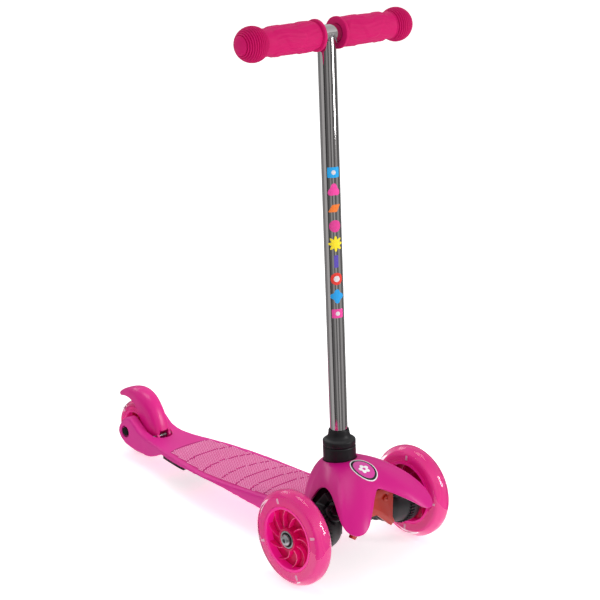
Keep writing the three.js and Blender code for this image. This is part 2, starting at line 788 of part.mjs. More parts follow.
// Screws come in pairs and stand upright, upside down, or lie with the head to the front
const braceMiddle = deckAt((braceStartShare + braceEndShare) / 2);
const braceSeatZ = braceMiddle.low - clearGap - braceThickness + smallScrewHeadHeight + 2 * seatGap;
const screwSeats = {
  foot: {
    x: footScrewSpacing / 2,
    y: footScrewY,
    z: deckFrontHeight + seatGap + footThickness,
    turn: 0,
    length: smallScrewLength,
  },
  brace: {
    x: braceScrewSpacing / 2,
    y: braceMiddle.y,
    z: braceSeatZ,
    turn: Math.PI,
    length: braceMiddle.top - screwSkin - braceSeatZ,
  },
  plate: {
    x: plateScrewSpacing / 2,
    y: -frameFront - seatGap - plateThickness,
    z: plateScrewHeight,
    turn: Math.PI / 2,
    length: smallScrewLength,
  },
};

function screwPlaced(geometry, seat, side) {
  return geometry.rotateX(seat.turn).translate(side * seat.x, seat.y, seat.z);
}

function screwHoles(kind) {
  return [1, -1].map((side) => {
    const hole = rodZ(smallScrewRadius + seatGap, -screwSeats[kind].length, 0, screwSteps);
    const headRoom = rodZ(smallScrewHeadRadius + seatGap, -weldDistance, smallScrewLength, screwSteps);
    return screwPlaced(geometryOf(join(hole, headRoom)), screwSeats[kind], side);
  });
}

function screwShape(kind, side) {
  const middle = seatGap + smallScrewHeadHeight / 2;
  const end = -screwSeats[kind].length + seatGap;
  const profile = [
    [0, end], [smallScrewRadius, end], [smallScrewRadius, seatGap], [smallScrewHeadRadius, seatGap],
    [smallScrewHeadRadius, middle], [smallScrewRadius, seatGap + smallScrewHeadHeight],
    [0, seatGap + smallScrewHeadHeight],
  ];
  return screwPlaced(turnedZ(profile, screwSteps), screwSeats[kind], side);
}

function frontPlateShape() {
  const back = -frameFront - seatGap;
  const low = plateBottom;
  const half = plateHalfWidth;
  const tip = half + plateHornReach;
  const right = [
    [half, plateTop], [half, low + 2 * plateCornerWidth], [tip, low + plateHornReach],
    [half - plateHornReach / 2, low], [plateNotchHalf, plateNotchHeight],
  ];
  const left = right.map(([x, z]) => [-x, z]).reverse();
  const shape = new THREE.Shape([...right, ...left].map(([x, z]) => new THREE.Vector2(x, z)));
  const plate = new THREE.ExtrudeGeometry(shape, { depth: plateThickness, bevelEnabled: false });
  plate.rotateX(Math.PI / 2).translate(0, back, 0);
  return cut(solid(plate), ...screwHoles('plate'));
}

// Socket, collet, nut and handlebar stand in the stem's own frame: Z up the stem
function socketShape() {
  const bore = stemRadius + runningGap;
  const floor = -stemInsert - stemPlugFlange - clearGap;
  return turnedZ([
    [0, floor - socketFloor], [socketSpigotRadius, floor - socketFloor], [socketSpigotRadius, socketShoulder],
    [socketRadius, socketShoulder + socketGroove], [socketRadius, socketTop - socketGroove],
    [socketRadius - socketGroove, socketTop], [socketNeckRadius, socketTop],
    [socketNeckRadius, socketTop + socketNeckHeight], [bore, socketTop + socketNeckHeight],
    [bore, floor], [0, floor],
  ], bossSteps);
}

function colletShape() {
  const bore = stemRadius + seatGap;
  const low = socketTop + socketNeckHeight + seatGap;
  const high = low + colletHeight;
  const ring = turnedZ([
    [bore, low], [socketNeckRadius, low], [bore + colletTopWall, high], [bore, high], [bore, low],
  ], bossSteps);
  const slit = block(-colletSlit / 2, colletSlit / 2, 0, socketRadius, low - cutOverrun, high + cutOverrun);
  return cut(solid(ring), slit);
}

function nutShape() {
  const low = socketTop + seatGap;
  const rim = low + nutRimHeight;
  const high = low + nutHeight;
  const bore = stemRadius + clearGap / 2;
  const cavity = socketNeckRadius + seatGap;
  const coneLow = socketTop + socketNeckHeight + 2 * seatGap;
  const coneHigh = coneLow + colletHeight + seatGap;
  const hollow = nutSlopeShares.map(([across, rise]) => {
    return [nutTopRadius + (socketRadius - nutTopRadius) * across, rim + (high - rim) * rise];
  });
  const body = turnedZ([
    [cavity, low], [socketRadius - socketGroove, low], [socketRadius, low + socketGroove],
    [socketRadius, rim - socketGroove], [socketRadius - socketGroove, rim],
    ...hollow, [nutTopRadius, high], [bore, high],
    [bore, coneHigh], [bore + colletTopWall + seatGap, coneHigh], [cavity, coneLow], [cavity, low],
  ], bossSteps);
  const flutes = [];
  for (let i = 0; i < nutFlutes; i += 1) {
    const turn = (2 * Math.PI * i) / nutFlutes;
    const reach = socketRadius + nutFluteRadius - nutFluteBite;
    const flute = rodZ(nutFluteRadius, low - cutOverrun, rim + cutOverrun, shaftSteps / 2);
    flutes.push(flute.translate(reach * Math.cos(turn), reach * Math.sin(turn), 0));
  }
  return cut(solid(body), ...flutes);
}

function stemShape() {
  const top = stemLength;
  const tube = turnedZ([
    [stemRadius - tubeWall, -stemInsert], [stemRadius, -stemInsert], [stemRadius, top],
    [stemRadius - tubeWall, top], [stemRadius - tubeWall, -stemInsert],
  ], bossSteps);
  const saddle = rodX(stemRadius + seatGap, -crossbarLength / 2, crossbarLength / 2, bossSteps);
  return cut(solid(tube), saddle.translate(0, 0, stemLength));
}

function stemPlugShape() {
  const inner = stemRadius - tubeWall - seatGap;
  const seat = -stemInsert - seatGap;
  return turnedZ([
    [0, seat - stemPlugFlange], [stemRadius, seat - stemPlugFlange], [stemRadius, seat],
    [inner, seat], [inner, seat + stemPlugDepth], [0, seat + stemPlugDepth],
  ], bossSteps);
}

function gripShape() {
  const bore = stemRadius + seatGap;
  const flangeEnd = gripInner + gripFlangeThickness;
  const ballStart = Math.asin(gripNeckRadius / gripBallRadius);
  const profile = [
    [bore, gripInner], [gripFlangeRadius - gripFlangeThickness / 4, gripInner],
    [gripFlangeRadius, gripInner + gripFlangeThickness / 2], [gripFlangeRadius, flangeEnd],
    [gripNeckRadius, flangeEnd + gripFlangeThickness / 2],
    [gripPalmRadius, (flangeEnd + gripBallCentre) / 2 - gripBallRadius / 2],
  ];
  const ballSteps = 7;
  for (let i = 0; i <= ballSteps; i += 1) {
    const turn = ballStart + (Math.PI - ballStart) * (i / ballSteps);
    const radius = i === ballSteps ? 0 : gripBallRadius * Math.sin(turn);
    profile.push([radius, gripBallCentre - gripBallRadius * Math.cos(turn)]);
  }
  profile.push([0, gripBoreEnd], [bore, gripBoreEnd], [bore, gripInner]);
  return turnedX(profile, gripSteps);
}

function addHandlebar(parent) {
  const stem = new THREE.Group();
  stem.position.set(0, stemFootY, stemFootZ);
  stem.rotation.x = -stemRake;
  parent.add(stem);
  place(stem, 'head_socket', socketShape(), blackPlastic);
  place(stem, 'collet', colletShape(), whitePlastic);
  place(stem, 'collar_nut', nutShape(), blackPlastic);
  place(stem, 'stem_tube', stemShape(), chrome);
  place(stem, 'stem_plug', stemPlugShape(), blackPlastic);
  const half = crossbarLength / 2;
  const crossbar = sleeveX(stemRadius - tubeWall, stemRadius, -half, half, bossSteps);
  place(stem, 'crossbar', crossbar.translate(0, 0, stemLength), chrome);
  for (const [label, side] of [['left', 1], ['right', -1]]) {
    const grip = mirrored(gripShape(), side).translate(0, 0, stemLength);
    place(stem, `grip_${label}`, grip, pinkRubber);
  }
}

// Deck
function deckTopAt(y) {
  return deckAt((y - deckFrontY) / deckLength).top;
}

function deckRing(station, half, top, low, round) {
  const right = [[half, low], [half, top - round], [half - round, top]];
  const left = right.map(([x, z]) => [-x, z]).reverse();
  return [...right, ...left].map(([x, z]) => new THREE.Vector3(x, station.y, z));
}

function deckOuter() {
  return skinned(deckShares.map(([share]) => {
    const at = deckAt(share);
    return deckRing(at, at.half, at.top, at.low, deckEdgeRound);
  }));
}

// Stations of the deck between two shares along it, with a station at each end
function stationShares(from, to) {
  const inside = deckShares.map(([share]) => share).filter((share) => share > from && share < to);
  return [from, ...inside, to];
}

// The underside is hollow between the side walls, up to the skin
function deckPocket() {
  return skinned(stationShares(deckPocketStartShare, deckPocketEndShare).map((share) => {
    const at = deckAt(share);
    return deckRing(at, at.half - deckWall, at.top - deckSkin, -cutOverrun, deckEdgeRound);
  }));
}

// Ribs fill only the band just under the skin
function deckRibs() {
  const band = skinned(stationShares(deckPocketStartShare / 2, deckPocketEndShare).map((share) => {
    const at = deckAt(share);
    const low = Math.max(at.top - deckRibDepth, at.low - seatGap);
    return deckRing(at, at.half - deckRibInset, at.top - deckSkin / 2, low, deckEdgeRound);
  }));
  const halfRib = deckRibThickness / 2;
  const end = deckFrontY + deckLength * deckPocketEndShare;
  const bars = [-1, 1].map((side) => {
    const x = (side * deckKeelSpacing) / 2;
    return block(x - halfRib, x + halfRib, deckFrontY, end, 0, deckFrontHeight);
  });
  for (let i = 1; i <= deckCrossRibs; i += 1) {
    const y = deckFrontY + ((end - deckFrontY) * i) / (deckCrossRibs + 1);
    bars.push(block(-deckHalfWidth, deckHalfWidth, y - halfRib, y + halfRib, 0, deckFrontHeight));
  }
  return solid(band).intersect(join(...bars));
}

// Shallow grooves bow towards the rear across the tread
function grooveTools() {
  const lip = skinned(deckShares.map(([share]) => {
    const at = deckAt(share);
    return deckRing(at, at.half - grooveEdgeMargin, at.top + cutOverrun, at.top - grooveDepth, deckEdgeRound);
  }));
  const bands = grooveShares.map((share) => {
    const y = deckFrontY + deckLength * share;
    const steps = 5;
    const sweep = Math.asin(deckHalfWidth / grooveRadius);
    const rings = [];
    for (let i = 0; i <= steps; i += 1) {
      const turn = -sweep + (2 * sweep * i) / steps;
      const [out, inn] = [grooveRadius + grooveWidth / 2, grooveRadius - grooveWidth / 2];
      const point = (radius, z) => {
        return new THREE.Vector3(radius * Math.sin(turn), y - grooveRadius + radius * Math.cos(turn), z);
      };
      rings.push([point(inn, 0), point(out, 0), point(out, 2 * deckFrontHeight), point(inn, 2 * deckFrontHeight)]);
    }
    return skinned(rings);
  });
  const endY = deckFrontY + deckLength * treadEndShare;
  bands.push(block(
    -deckHalfWidth, deckHalfWidth, endY - grooveWidth / 2, endY + grooveWidth / 2, 0, 2 * deckFrontHeight,
  ));
  return solid(lip).intersect(join(...bands));
}

function aboutRearAxle(shares) {
  return shares.map(([y, z]) => [rearAxleY + rearWheelRadius * y, rearWheelRadius + rearWheelRadius * z]);
}

// A pocket with a rounded front takes the foot of the fender
function footPocket(rear) {
  const floor = brakeHingeZ - footPocketDepth;
  const high = 2 * deckFrontHeight;
  const front = brakeHingeY - footPocketFront;
  const reach = wheelSlotHalfWidth * footPocketRoundShare;
  const round = rodZ(wheelSlotHalfWidth, floor, high, bossSteps).scale(1, footPocketRoundShare, 1);
  const slot = block(-wheelSlotHalfWidth, wheelSlotHalfWidth, front + reach, rear, floor, high);
  return join(slot, round.translate(0, front + reach, 0));
}

function deckShape() {
  const earOuter = wheelSlotHalfWidth + earThickness;
  const outline = aboutRearAxle(earShares);
  const ears = [[wheelSlotHalfWidth, earOuter], [-earOuter, -wheelSlotHalfWidth]].map(([x0, x1]) => {
    return slabX(outline, x0, x1, earBevel);
  });
  const body = cut(solid(deckOuter()), deckPocket());
  const ribbed = body.add(deckRibs()).add(join(...ears)).subtract(grooveTools());
  const slotEnd = rearAxleY + 2 * rearWheelRadius;
  const wheelFront = rearAxleY - rearWheelRadius - 2 * clearGap;
  const far = earOuter + cutOverrun;
  const recess = rodX(earRecessRadius, earOuter - earRecessDepth, far, bossSteps);
  const recesses = [1, -1].map((side) => {
    return mirrored(recess, side).translate(0, rearAxleY, rearWheelRadius);
  });
  const pinEnd = wheelSlotHalfWidth + brakePinReach + seatGap;
  return cut(
    ribbed.subtract(footPocket(slotEnd)),
    block(-wheelSlotHalfWidth, wheelSlotHalfWidth, wheelFront, slotEnd, -cutOverrun, 2 * deckFrontHeight),
    rodX(axleRadius + seatGap, -far, far, shaftSteps).translate(0, rearAxleY, rearWheelRadius),
    ...recesses,
    rodX(brakePinRadius + seatGap, -pinEnd, pinEnd, shaftSteps).translate(0, brakeHingeY, brakeHingeZ),
    ...screwHoles('foot'),
    ...screwHoles('brace'),
  );
}

// The brace plate follows the deck's low edge and has a flat pad in its middle
function bracePlateShape() {
  const plate = skinned(stationShares(braceStartShare, braceEndShare).map((share) => {
    const at = deckAt(share);
    const top = at.low - clearGap;
    return deckRing(at, at.half - braceSideInset, top, top - braceThickness, seatGap);
  }));
  const pad = block(
    -bracePadHalfWidth, bracePadHalfWidth,
    braceMiddle.y - bracePadHalfLength, braceMiddle.y + bracePadHalfLength,
    deckAt(braceEndShare).low - clearGap - braceThickness, braceMiddle.low - clearGap - braceThickness / 2,
  );
  return cut(join(plate, pad), ...screwHoles('brace'));
}

// Rear axle
function addRearAxle(parent) {
  const axle = new THREE.Group();
  axle.position.set(0, rearAxleY, rearWheelRadius);
  parent.add(axle);
  const seat = wheelSlotHalfWidth + earThickness - earRecessDepth + seatGap;
  const bolt = hexBoltX(-seat - boltHeadHeight, seat, boltHeadRadius, boltHeadHeight, axleRadius);
  place(axle, 'rear_axle_bolt', bolt, zincSteel);
  const nut = cut(
    solid(rodX(boltHeadRadius, -seat - boltHeadHeight, -seat, 6)),
    rodX(axleRadius + seatGap, -seat - cutOverrun, -seat + cutOverrun, shaftSteps),
  );
  place(axle, 'rear_axle_nut', nut, zincSteel);
  for (const [label, side] of [['left', 1], ['right', -1]]) {
    const spacer = sleeveX(
      axleRadius + seatGap, magnetRadius, halfWheel + seatGap, wheelSlotHalfWidth - seatGap, shaftSteps,
    );
    place(axle, `rear_spacer_${label}`, mirrored(spacer, side), zincSteel);
  }
}

// Brake
function fenderRings() {
  return fenderShares.map(([crownY, crownZ, skirtY, skirtZ, width]) => {
    const [crown, skirt] = aboutRearAxle([[crownY, crownZ], [skirtY, skirtZ]]);
    const half = domeShares.map(([across, rise]) => new THREE.Vector3(
      across * width * fenderHalfWidth,
      skirt[0] + (crown[0] - skirt[0]) * rise,
      skirt[1] + (crown[1] - skirt[1]) * rise,
    ));
    const other = half.slice(0, -1).reverse().map((p) => new THREE.Vector3(-p.x, p.y, p.z));
    return [...half, ...other];
  });
}

function fenderShape() {
  const cavity = fenderCavityHalfWidth;
  const barrel = rodX(brakeBarrelRadius, -brakeBarrelHalfWidth, brakeBarrelHalfWidth, bossSteps);
  const bore = rodX(brakePinRadius + seatGap, -2 * fenderHalfWidth, 2 * fenderHalfWidth, shaftSteps);
  const coilRoom = rodX(brakeBarrelRadius + clearGap, -brakeCoilHalfWidth, brakeCoilHalfWidth, bossSteps);
  const shell = cut(solid(skinned(fenderRings())), slabX(aboutRearAxle(fenderCavityShares), -cavity, cavity));
  return cut(
    shell.add(solid(barrel.translate(0, brakeHingeY, brakeHingeZ))),
    bore.translate(0, brakeHingeY, brakeHingeZ),
    coilRoom.translate(0, brakeHingeY, brakeHingeZ),
  );
}

function brakePadShape() {
  const inner = rearWheelRadius + brakePadGap;
  const outer = inner + brakePadThickness;
  const steps = 6;
  const arc = (radius, i) => {
    const turn = brakePadStart + (brakePadSweep * i) / steps;
    return [rearAxleY + radius * Math.cos(turn), rearWheelRadius + radius * Math.sin(turn)];
  };
  const outline = [];
  for (let i = 0; i <= steps; i += 1) outline.push(arc(outer, i));
  for (let i = steps; i >= 0; i -= 1) outline.push(arc(inner, i));
  return slabX(outline, -brakePadHalfWidth, brakePadHalfWidth);
}

function addBrake(parent) {
  place(parent, 'brake_fender', fenderShape(), pinkPlastic);
  place(parent, 'brake_pad', brakePadShape(), darkRubber);
  const end = wheelSlotHalfWidth + brakePinReach;
  const pin = rodX(brakePinRadius, -end, end, shaftSteps).translate(0, brakeHingeY, brakeHingeZ);
  place(parent, 'brake_pin', pin, zincSteel);
  const half = brakeCoilHalfWidth - clearGap;
  const points = coilPoints(
    -half, half, brakeHingeY, brakeHingeZ, brakeCoilRadius, brakeCurls, brakeWire, Math.PI,
  );
  reportLeastGap('brake_spring', points, brakeWire);
  place(parent, 'brake_spring', wireAlong(points, brakeWire / 2), zincSteel);
}

// Front cover: a smooth shell from the collar hole out to a wavy hem
function hemPoints() {
  const right = hemShares.map(([x, y, z]) => {
    const reach = y < 0 ? coverReach : coverRearReach;
    return new THREE.Vector3(coverHalfWidth * x, reach * y, coverTop * z);
  });
  const feet = hemFootShares.map(([x, y]) => {
    const at = coverRearReach * y;
    return new THREE.Vector3(coverHalfWidth * x, at, deckTopAt(at) + clearGap);
  });
  const half = [...right, ...feet];
  const left = half.slice(1, -1).reverse().map((p) => new THREE.Vector3(-p.x, p.y, p.z));
  return [...half, ...left];
}

// Down the cover in one direction: from the collar over the shoulder to a point of the hem
function coverProfile(foot) {
  const collarY = stemFootY + Math.tan(stemRake) * (coverTop - stemFootZ);
  const ringRadius = socketRadius + coverCollarGap;
  const out = new THREE.Vector3(foot.x, foot.y - collarY, 0);
  const span = out.length() - ringRadius;
  out.normalize();
  const toFront = (1 - out.y) / 2;
  const start = out.clone().multiplyScalar(ringRadius);
  start.y += collarY;
  start.z = coverTop - coverCollarTilt * out.y;
  const fall = start.z - foot.z;
  const knee = start.clone().addScaledVector(
    out, span * THREE.MathUtils.lerp(coverShoulderShare, coverNoseShare, toFront),
  );
  knee.z -= fall * coverShoulderFall * (1 - toFront);
  const brow = foot.clone().addScaledVector(out, -span * coverLipShare * toFront);
  brow.z += fall * THREE.MathUtils.lerp(coverRearDropShare, coverFrontDropShare, toFront);
  return new THREE.CubicBezierCurve3(start, knee, brow, foot);
}

function coverGrid() {
  const hem = new THREE.CatmullRomCurve3(hemPoints(), true, 'centripetal');
  const rows = [];
  for (let i = 0; i < coverSteps; i += 1) {
    const curve = coverProfile(hem.getPoint(i / coverSteps));
    const row = [];
    for (let k = 0; k <= coverRings; k += 1) row.push(curve.getPoint(k / coverRings));
    rows.push(row);
  }
  return rows;
}

function coverShape() {
  const outer = coverGrid();
  const inner = outer.map((row, i) => row.map((point, k) => {
    const before = outer[(i + coverSteps - 1) % coverSteps][k];
    const after = outer[(i + 1) % coverSteps][k];
    const up = row[Math.max(k - 1, 0)];
    const down = row[Math.min(k + 1, coverRings)];
    const normal = after.clone().sub(before).cross(down.clone().sub(up)).normalize();
    const toward = normal.z > 0 ? -1 : 1;
    const moved = point.clone().addScaledVector(normal, toward * coverThickness);
    if (k === 0) moved.set(point.x, point.y, point.z - coverThickness);
    return moved;
  }));
  const rings = [];
  for (let k = 0; k <= coverRings; k += 1) rings.push(outer.map((row) => row[k]));
  for (let k = coverRings; k >= 0; k -= 1) rings.push(inner.map((row) => row[k]));
  const at = rings.flat().flatMap((p) => [p.x, p.y, p.z]);
  const index = [];
  for (let r = 0; r < rings.length; r += 1) {
    const below = ((r + 1) % rings.length) * coverSteps;
    for (let i = 0; i < coverSteps; i += 1) {
      const next = (i + 1) % coverSteps;
      const [a, b] = [r * coverSteps + i, r * coverSteps + next];
      index.push(a, b, below + next, a, below + next, below + i);
    }
  }
  const geometry = new THREE.BufferGeometry();
  geometry.setAttribute('position', new THREE.Float32BufferAttribute(at, 3));
  geometry.setIndex(index);
  return geometry;
}

// The badge lies in a flat recess on the front slope of the cover
function badgeDisc(margin, low, high) {
  const radius = badgeHalfWidth + margin;
  const disc = rodZ(radius, low, high, bossSteps).scale(1, badgeLengthShare, 1);
  const profile = coverProfile(hemPoints()[0]);
  const at = profile.getPoint(badgeAlongShare);
  const along = profile.getTangent(badgeAlongShare);
  const slope = Math.atan2(-along.z, -along.y);
  return disc.rotateX(slope).translate(at.x, at.y, at.z);
}

function coverWithBadgeSeat() {
  const floor = badgeProud - badgeThickness;
  const backing = solid(badgeDisc(2 * badgeProud, floor - badgeBacking, floor));
  return cut(solid(coverShape()).add(backing), badgeDisc(seatGap, floor, cutOverrun));
}

function badgeShape() {
  const floor = badgeProud - badgeThickness;
  return badgeDisc(0, floor + seatGap, floor + badgeThickness);
}

const model = new THREE.Group();
addWheel(
  model, 'front_left', frontWheelX, 0, frontWheelRadius, frontRimRadius, frontSpokeCount, frontLeftPodTurn,
);
addWheel(
  model, 'front_right', -frontWheelX, 0, frontWheelRadius, frontRimRadius, frontSpokeCount, frontRightPodTurn,
);
addWheel(model, 'rear', 0, rearAxleY, rearWheelRadius, rearRimRadius, rearSpokeCount, rearPodTurn);
addKnuckle(model, 'left', 1);
addKnuckle(model, 'right', -1);
addTieRod(model);
addCentringSpring(model, 'left', 1);
addCentringSpring(model, 'right', -1);
place(model, 'head_frame', headFrameShape(), blackPlastic);
place(model, 'front_plate', frontPlateShape(), orangePlastic);
for (const kind of ['plate', 'foot', 'brace']) {
  place(model, `${kind}_screw_left`, screwShape(kind, 1), zincSteel);
  place(model, `${kind}_screw_right`, screwShape(kind, -1), zincSteel);
}
addHandlebar(model);
place(model, 'deck', deckShape(), pinkTread);
place(model, 'brace_plate', bracePlateShape(), blackPlastic);
addRearAxle(model);
addBrake(model);
place(model, 'front_cover', coverWithBadgeSeat(), pinkPlastic);
place(model, 'front_badge', badgeShape(), whitePlastic);

// The origin is on the ground, under the middle of the whole object
const scooter = new THREE.Group();
scooter.add(model);
const bounds = new THREE.Box3().setFromObject(model);
model.position.y = -(bounds.min.y + bounds.max.y) / 2;
scooter.updateMatrixWorld(true);

export default scooter;
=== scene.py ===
# %% [markdown]
# # A three wheel kids scooter, dressed
#
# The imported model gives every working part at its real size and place. This lesson gives those parts
# the finish of the real thing: clear pink tyres on a pink core, smooth moulded covers, a chrome
# handlebar and soft rubber grips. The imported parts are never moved. Where a part's facets would show,
# a finer piece is made in the same place and stands for it.

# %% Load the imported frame
import json
import math

import bmesh
import bpy
from mathutils import Matrix, Vector
from mathutils.bvhtree import BVHTree


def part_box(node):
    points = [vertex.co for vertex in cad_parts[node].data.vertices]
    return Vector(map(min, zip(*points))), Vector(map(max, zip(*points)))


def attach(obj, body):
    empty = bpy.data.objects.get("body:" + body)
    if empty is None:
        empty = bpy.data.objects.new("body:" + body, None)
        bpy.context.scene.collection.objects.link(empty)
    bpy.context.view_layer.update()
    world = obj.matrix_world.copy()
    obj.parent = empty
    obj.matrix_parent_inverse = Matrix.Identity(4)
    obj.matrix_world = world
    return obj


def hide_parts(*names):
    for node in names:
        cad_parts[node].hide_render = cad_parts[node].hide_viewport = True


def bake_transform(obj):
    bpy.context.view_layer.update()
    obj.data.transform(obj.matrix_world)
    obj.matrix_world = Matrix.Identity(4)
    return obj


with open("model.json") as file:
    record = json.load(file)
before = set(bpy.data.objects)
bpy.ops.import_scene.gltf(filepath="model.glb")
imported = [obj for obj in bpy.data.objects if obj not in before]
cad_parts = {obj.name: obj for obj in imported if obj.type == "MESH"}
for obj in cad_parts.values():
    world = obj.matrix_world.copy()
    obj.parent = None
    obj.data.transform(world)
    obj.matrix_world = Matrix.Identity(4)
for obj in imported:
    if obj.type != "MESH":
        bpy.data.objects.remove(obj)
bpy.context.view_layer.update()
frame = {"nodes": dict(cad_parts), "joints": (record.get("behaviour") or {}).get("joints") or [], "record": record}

MM = 0.001
nodes = frame["nodes"]
joints = {joint["name"]: joint for joint in frame["joints"]}
nodes_of_body = frame["record"]["behaviour"]["bodies"]
body_of_node = {node: body for body, group in nodes_of_body.items() for node in group}

# %% [markdown]
# ## Places to draw from
#
# Every shape is drawn in millimetres about a handy point and then set down in the row frame, which is
# in metres. Four such points are enough: the ground under the front axle, the middle of each wheel,
# the kingpins, and the foot of the stem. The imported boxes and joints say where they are, so nothing
# here is fitted by eye.

# %% Local frames
def box_of(node):
    """Lowest corner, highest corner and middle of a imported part, in metres."""
    low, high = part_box(node)
    return low, high, (low + high) / 2


def half_width(node):
    """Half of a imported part's width along X, in millimetres."""
    low, high, _ = box_of(node)
    return (high.x - low.x) / 2 / MM


def upright(joint):
    """The frame whose Z runs along a joint's axis, in millimetres."""
    axis = Vector(joints[joint]["axis"])
    lean = Matrix.Rotation(math.atan2(-axis.y, axis.z), 4, "X")
    return Matrix.Translation(joints[joint]["pos_m"]) @ lean @ Matrix.Scale(MM, 4)


front_axle_y = joints["front_left_wheel_spin"]["pos_m"][1]
ground = Matrix.Translation((0, front_axle_y, 0)) @ Matrix.Scale(MM, 4)
stem_frame = upright("clamp_nut_turn")
kingpin_frames = {side: upright(f"steer_{side}") for side in ("left", "right")}
OUTWARD = {"left": 1, "right": -1}
print("front axle line at y", round(front_axle_y, 4))

# %% [markdown]
# ## Camera
#
# A camera that stands where the photographer stood makes the picture comparable. Its place, its turn
# and its lens were found by matching the wheels, the deck and the stem, so here they are plain values:
# the place in millimetres from the ground under the front axle, the turn as two angles and a small roll.

# %% Camera
CAMERA_PLACE = Vector((-1307.77, -1347.37, 950.90))
CAMERA_AZIMUTH = math.radians(-42.053)
CAMERA_ELEVATION = math.radians(18.100)
CAMERA_ROLL = math.radians(0.168)
SENSOR_WIDTH = 36.0
LENS = 99.62


def camera_turn(azimuth, elevation, roll):
    """The turn of a camera that looks at the scooter from this side and height."""
    flat = math.cos(elevation)
    back = Vector((math.sin(azimuth) * flat, -math.cos(azimuth) * flat, math.sin(elevation)))
    right = Vector((math.cos(azimuth), math.sin(azimuth), 0))
    up = back.cross(right)
    level_right = right * math.cos(roll) + up * math.sin(roll)
    level_up = up * math.cos(roll) - right * math.sin(roll)
    return Matrix((level_right, level_up, back)).transposed().to_4x4()


camera_data = bpy.data.cameras.new("photo_camera")
camera_data.sensor_width = SENSOR_WIDTH
camera_data.lens = LENS
camera = bpy.data.objects.new("photo_camera", camera_data)
bpy.context.scene.collection.objects.link(camera)
camera.matrix_world = Matrix.Translation(ground @ CAMERA_PLACE) @ camera_turn(
    CAMERA_AZIMUTH, CAMERA_ELEVATION, CAMERA_ROLL
)
bpy.context.scene.camera = camera
print("camera at", [round(x, 3) for x in camera.location])

# %% [markdown]
# ## Floor and light
#
# A product photo of this kind is lit softly from the front, on a white light table. A glowing pale
# floor, a sky that is bright at the horizon and a few soft lamps do the same. A round chrome tube
# shows whatever surrounds it, so grey cards stand all round, each with a tail that lies on the floor
# like a slice of pie. Only reflections see them: they give the chrome its streaks and shade nothing.
# A black flag does the opposite: it takes soft light away from the faces that look left, which gives
# the body its form, and no reflection shows it.

# %% Colours and nodes
def linear(code):
    """An sRGB hex colour as the linear values that a shader socket takes."""
    shares = [int(code[i : i + 2], 16) / 255 for i in (1, 3, 5)]
    bent = [s / 12.92 if s <= 0.04045 else ((s + 0.055) / 1.055) ** 2.4 for s in shares]
    return (*bent, 1.0)


def add(tree, kind, links=(), **settings):
    """Adds one node. Settings are its properties; links fill its sockets with values or other outputs."""
    made = tree.nodes.new(kind)
    for name, value in settings.items():
        setattr(made, name, value)
    for socket, value in dict(links).items():
        if isinstance(value, bpy.types.NodeSocket):
            tree.links.new(value, made.inputs[socket])
        else:
            made.inputs[socket].default_value = value
    return made


def new_material(name, **sockets):
    """A material with one Principled shader, its sockets set by name with spaces as underscores."""
    material = bpy.data.materials.new(name)
    material.use_nodes = True
    shader = material.node_tree.nodes["Principled BSDF"]
    for socket, value in sockets.items():
        shader.inputs[socket.replace("_", " ")].default_value = value
    return material, material.node_tree, shader


print("half grey as a shader takes it:", round(linear("#808080")[0], 3))

# %% Floor, sky and lamps
FLOOR_REACH = 15.0
FLOOR_GLOW = 0.56
SKY_TOP = 0.4
SKY_EDGE = 1.0
# Place and size in metres, and power in watts
LAMPS = {
    "key_lamp": ((1.5, -2.4, 1.25), (0.5, 1.3), 27.0),
    "side_lamp": ((-2.4, -1.3, 1.3), (0.7, 1.0), 5.0),
    "top_lamp": ((0.3, 0.3, 2.7), (1.4, 1.4), 18.0),
    "back_lamp": ((0.2, 2.4, 1.9), (1.4, 0.8), 8.0),
}
LOOK_AT = Vector((0, 0, 0.25))


def stage_sheet(name, points, faces, material):
    """A sheet that is there for the picture only."""
    mesh = bpy.data.meshes.new(name)
    mesh.from_pydata(points, [], faces)
    mesh.materials.append(material)
    sheet = bpy.data.objects.new(name, mesh)
    bpy.context.scene.collection.objects.link(sheet)
    return sheet


floor_paint, _, _ = new_material(
    "white_light_table", Base_Color=linear("#f4f3f4"), Roughness=0.9,
    Emission_Color=linear("#ffffff"), Emission_Strength=FLOOR_GLOW,
)
corners = [(FLOOR_REACH * x, FLOOR_REACH * y, 0) for x, y in ((-1, -1), (1, -1), (1, 1), (-1, 1))]
stage_sheet("floor", corners, [(0, 1, 2, 3)], floor_paint)

world = bpy.data.worlds.new("studio_sky")
bpy.context.scene.world = world
world.use_nodes = True
sky = world.node_tree
above = add(sky, "ShaderNodeTexCoord").outputs["Generated"]
height = add(sky, "ShaderNodeSeparateXYZ", {"Vector": above}).outputs["Z"]
glow = add(sky, "ShaderNodeMapRange", {"Value": height, "To Min": SKY_EDGE, "To Max": SKY_TOP})
sky.nodes["Background"].inputs["Color"].default_value = linear("#ffffff")
sky.links.new(glow.outputs["Result"], sky.nodes["Background"].inputs["Strength"])

for name, (place, (width, tall), watts) in LAMPS.items():
    lamp_data = bpy.data.lights.new(name, "AREA")
    lamp_data.shape = "RECTANGLE"
    lamp_data.size, lamp_data.size_y = width, tall
    lamp_data.energy = watts
    lamp = bpy.data.objects.new(name, lamp_data)
    bpy.context.scene.collection.objects.link(lamp)
    aim = (Vector(place) - LOOK_AT).to_track_quat("Z", "Y").to_matrix().to_4x4()
    lamp.matrix_world = Matrix.Translation(place) @ aim
    lamp.visible_glossy = name != "side_lamp"
bpy.context.scene.view_settings.view_transform = "Standard"
print("lamps:", len(LAMPS), "with", sum(watts for _, _, watts in LAMPS.values()), "watts in all")

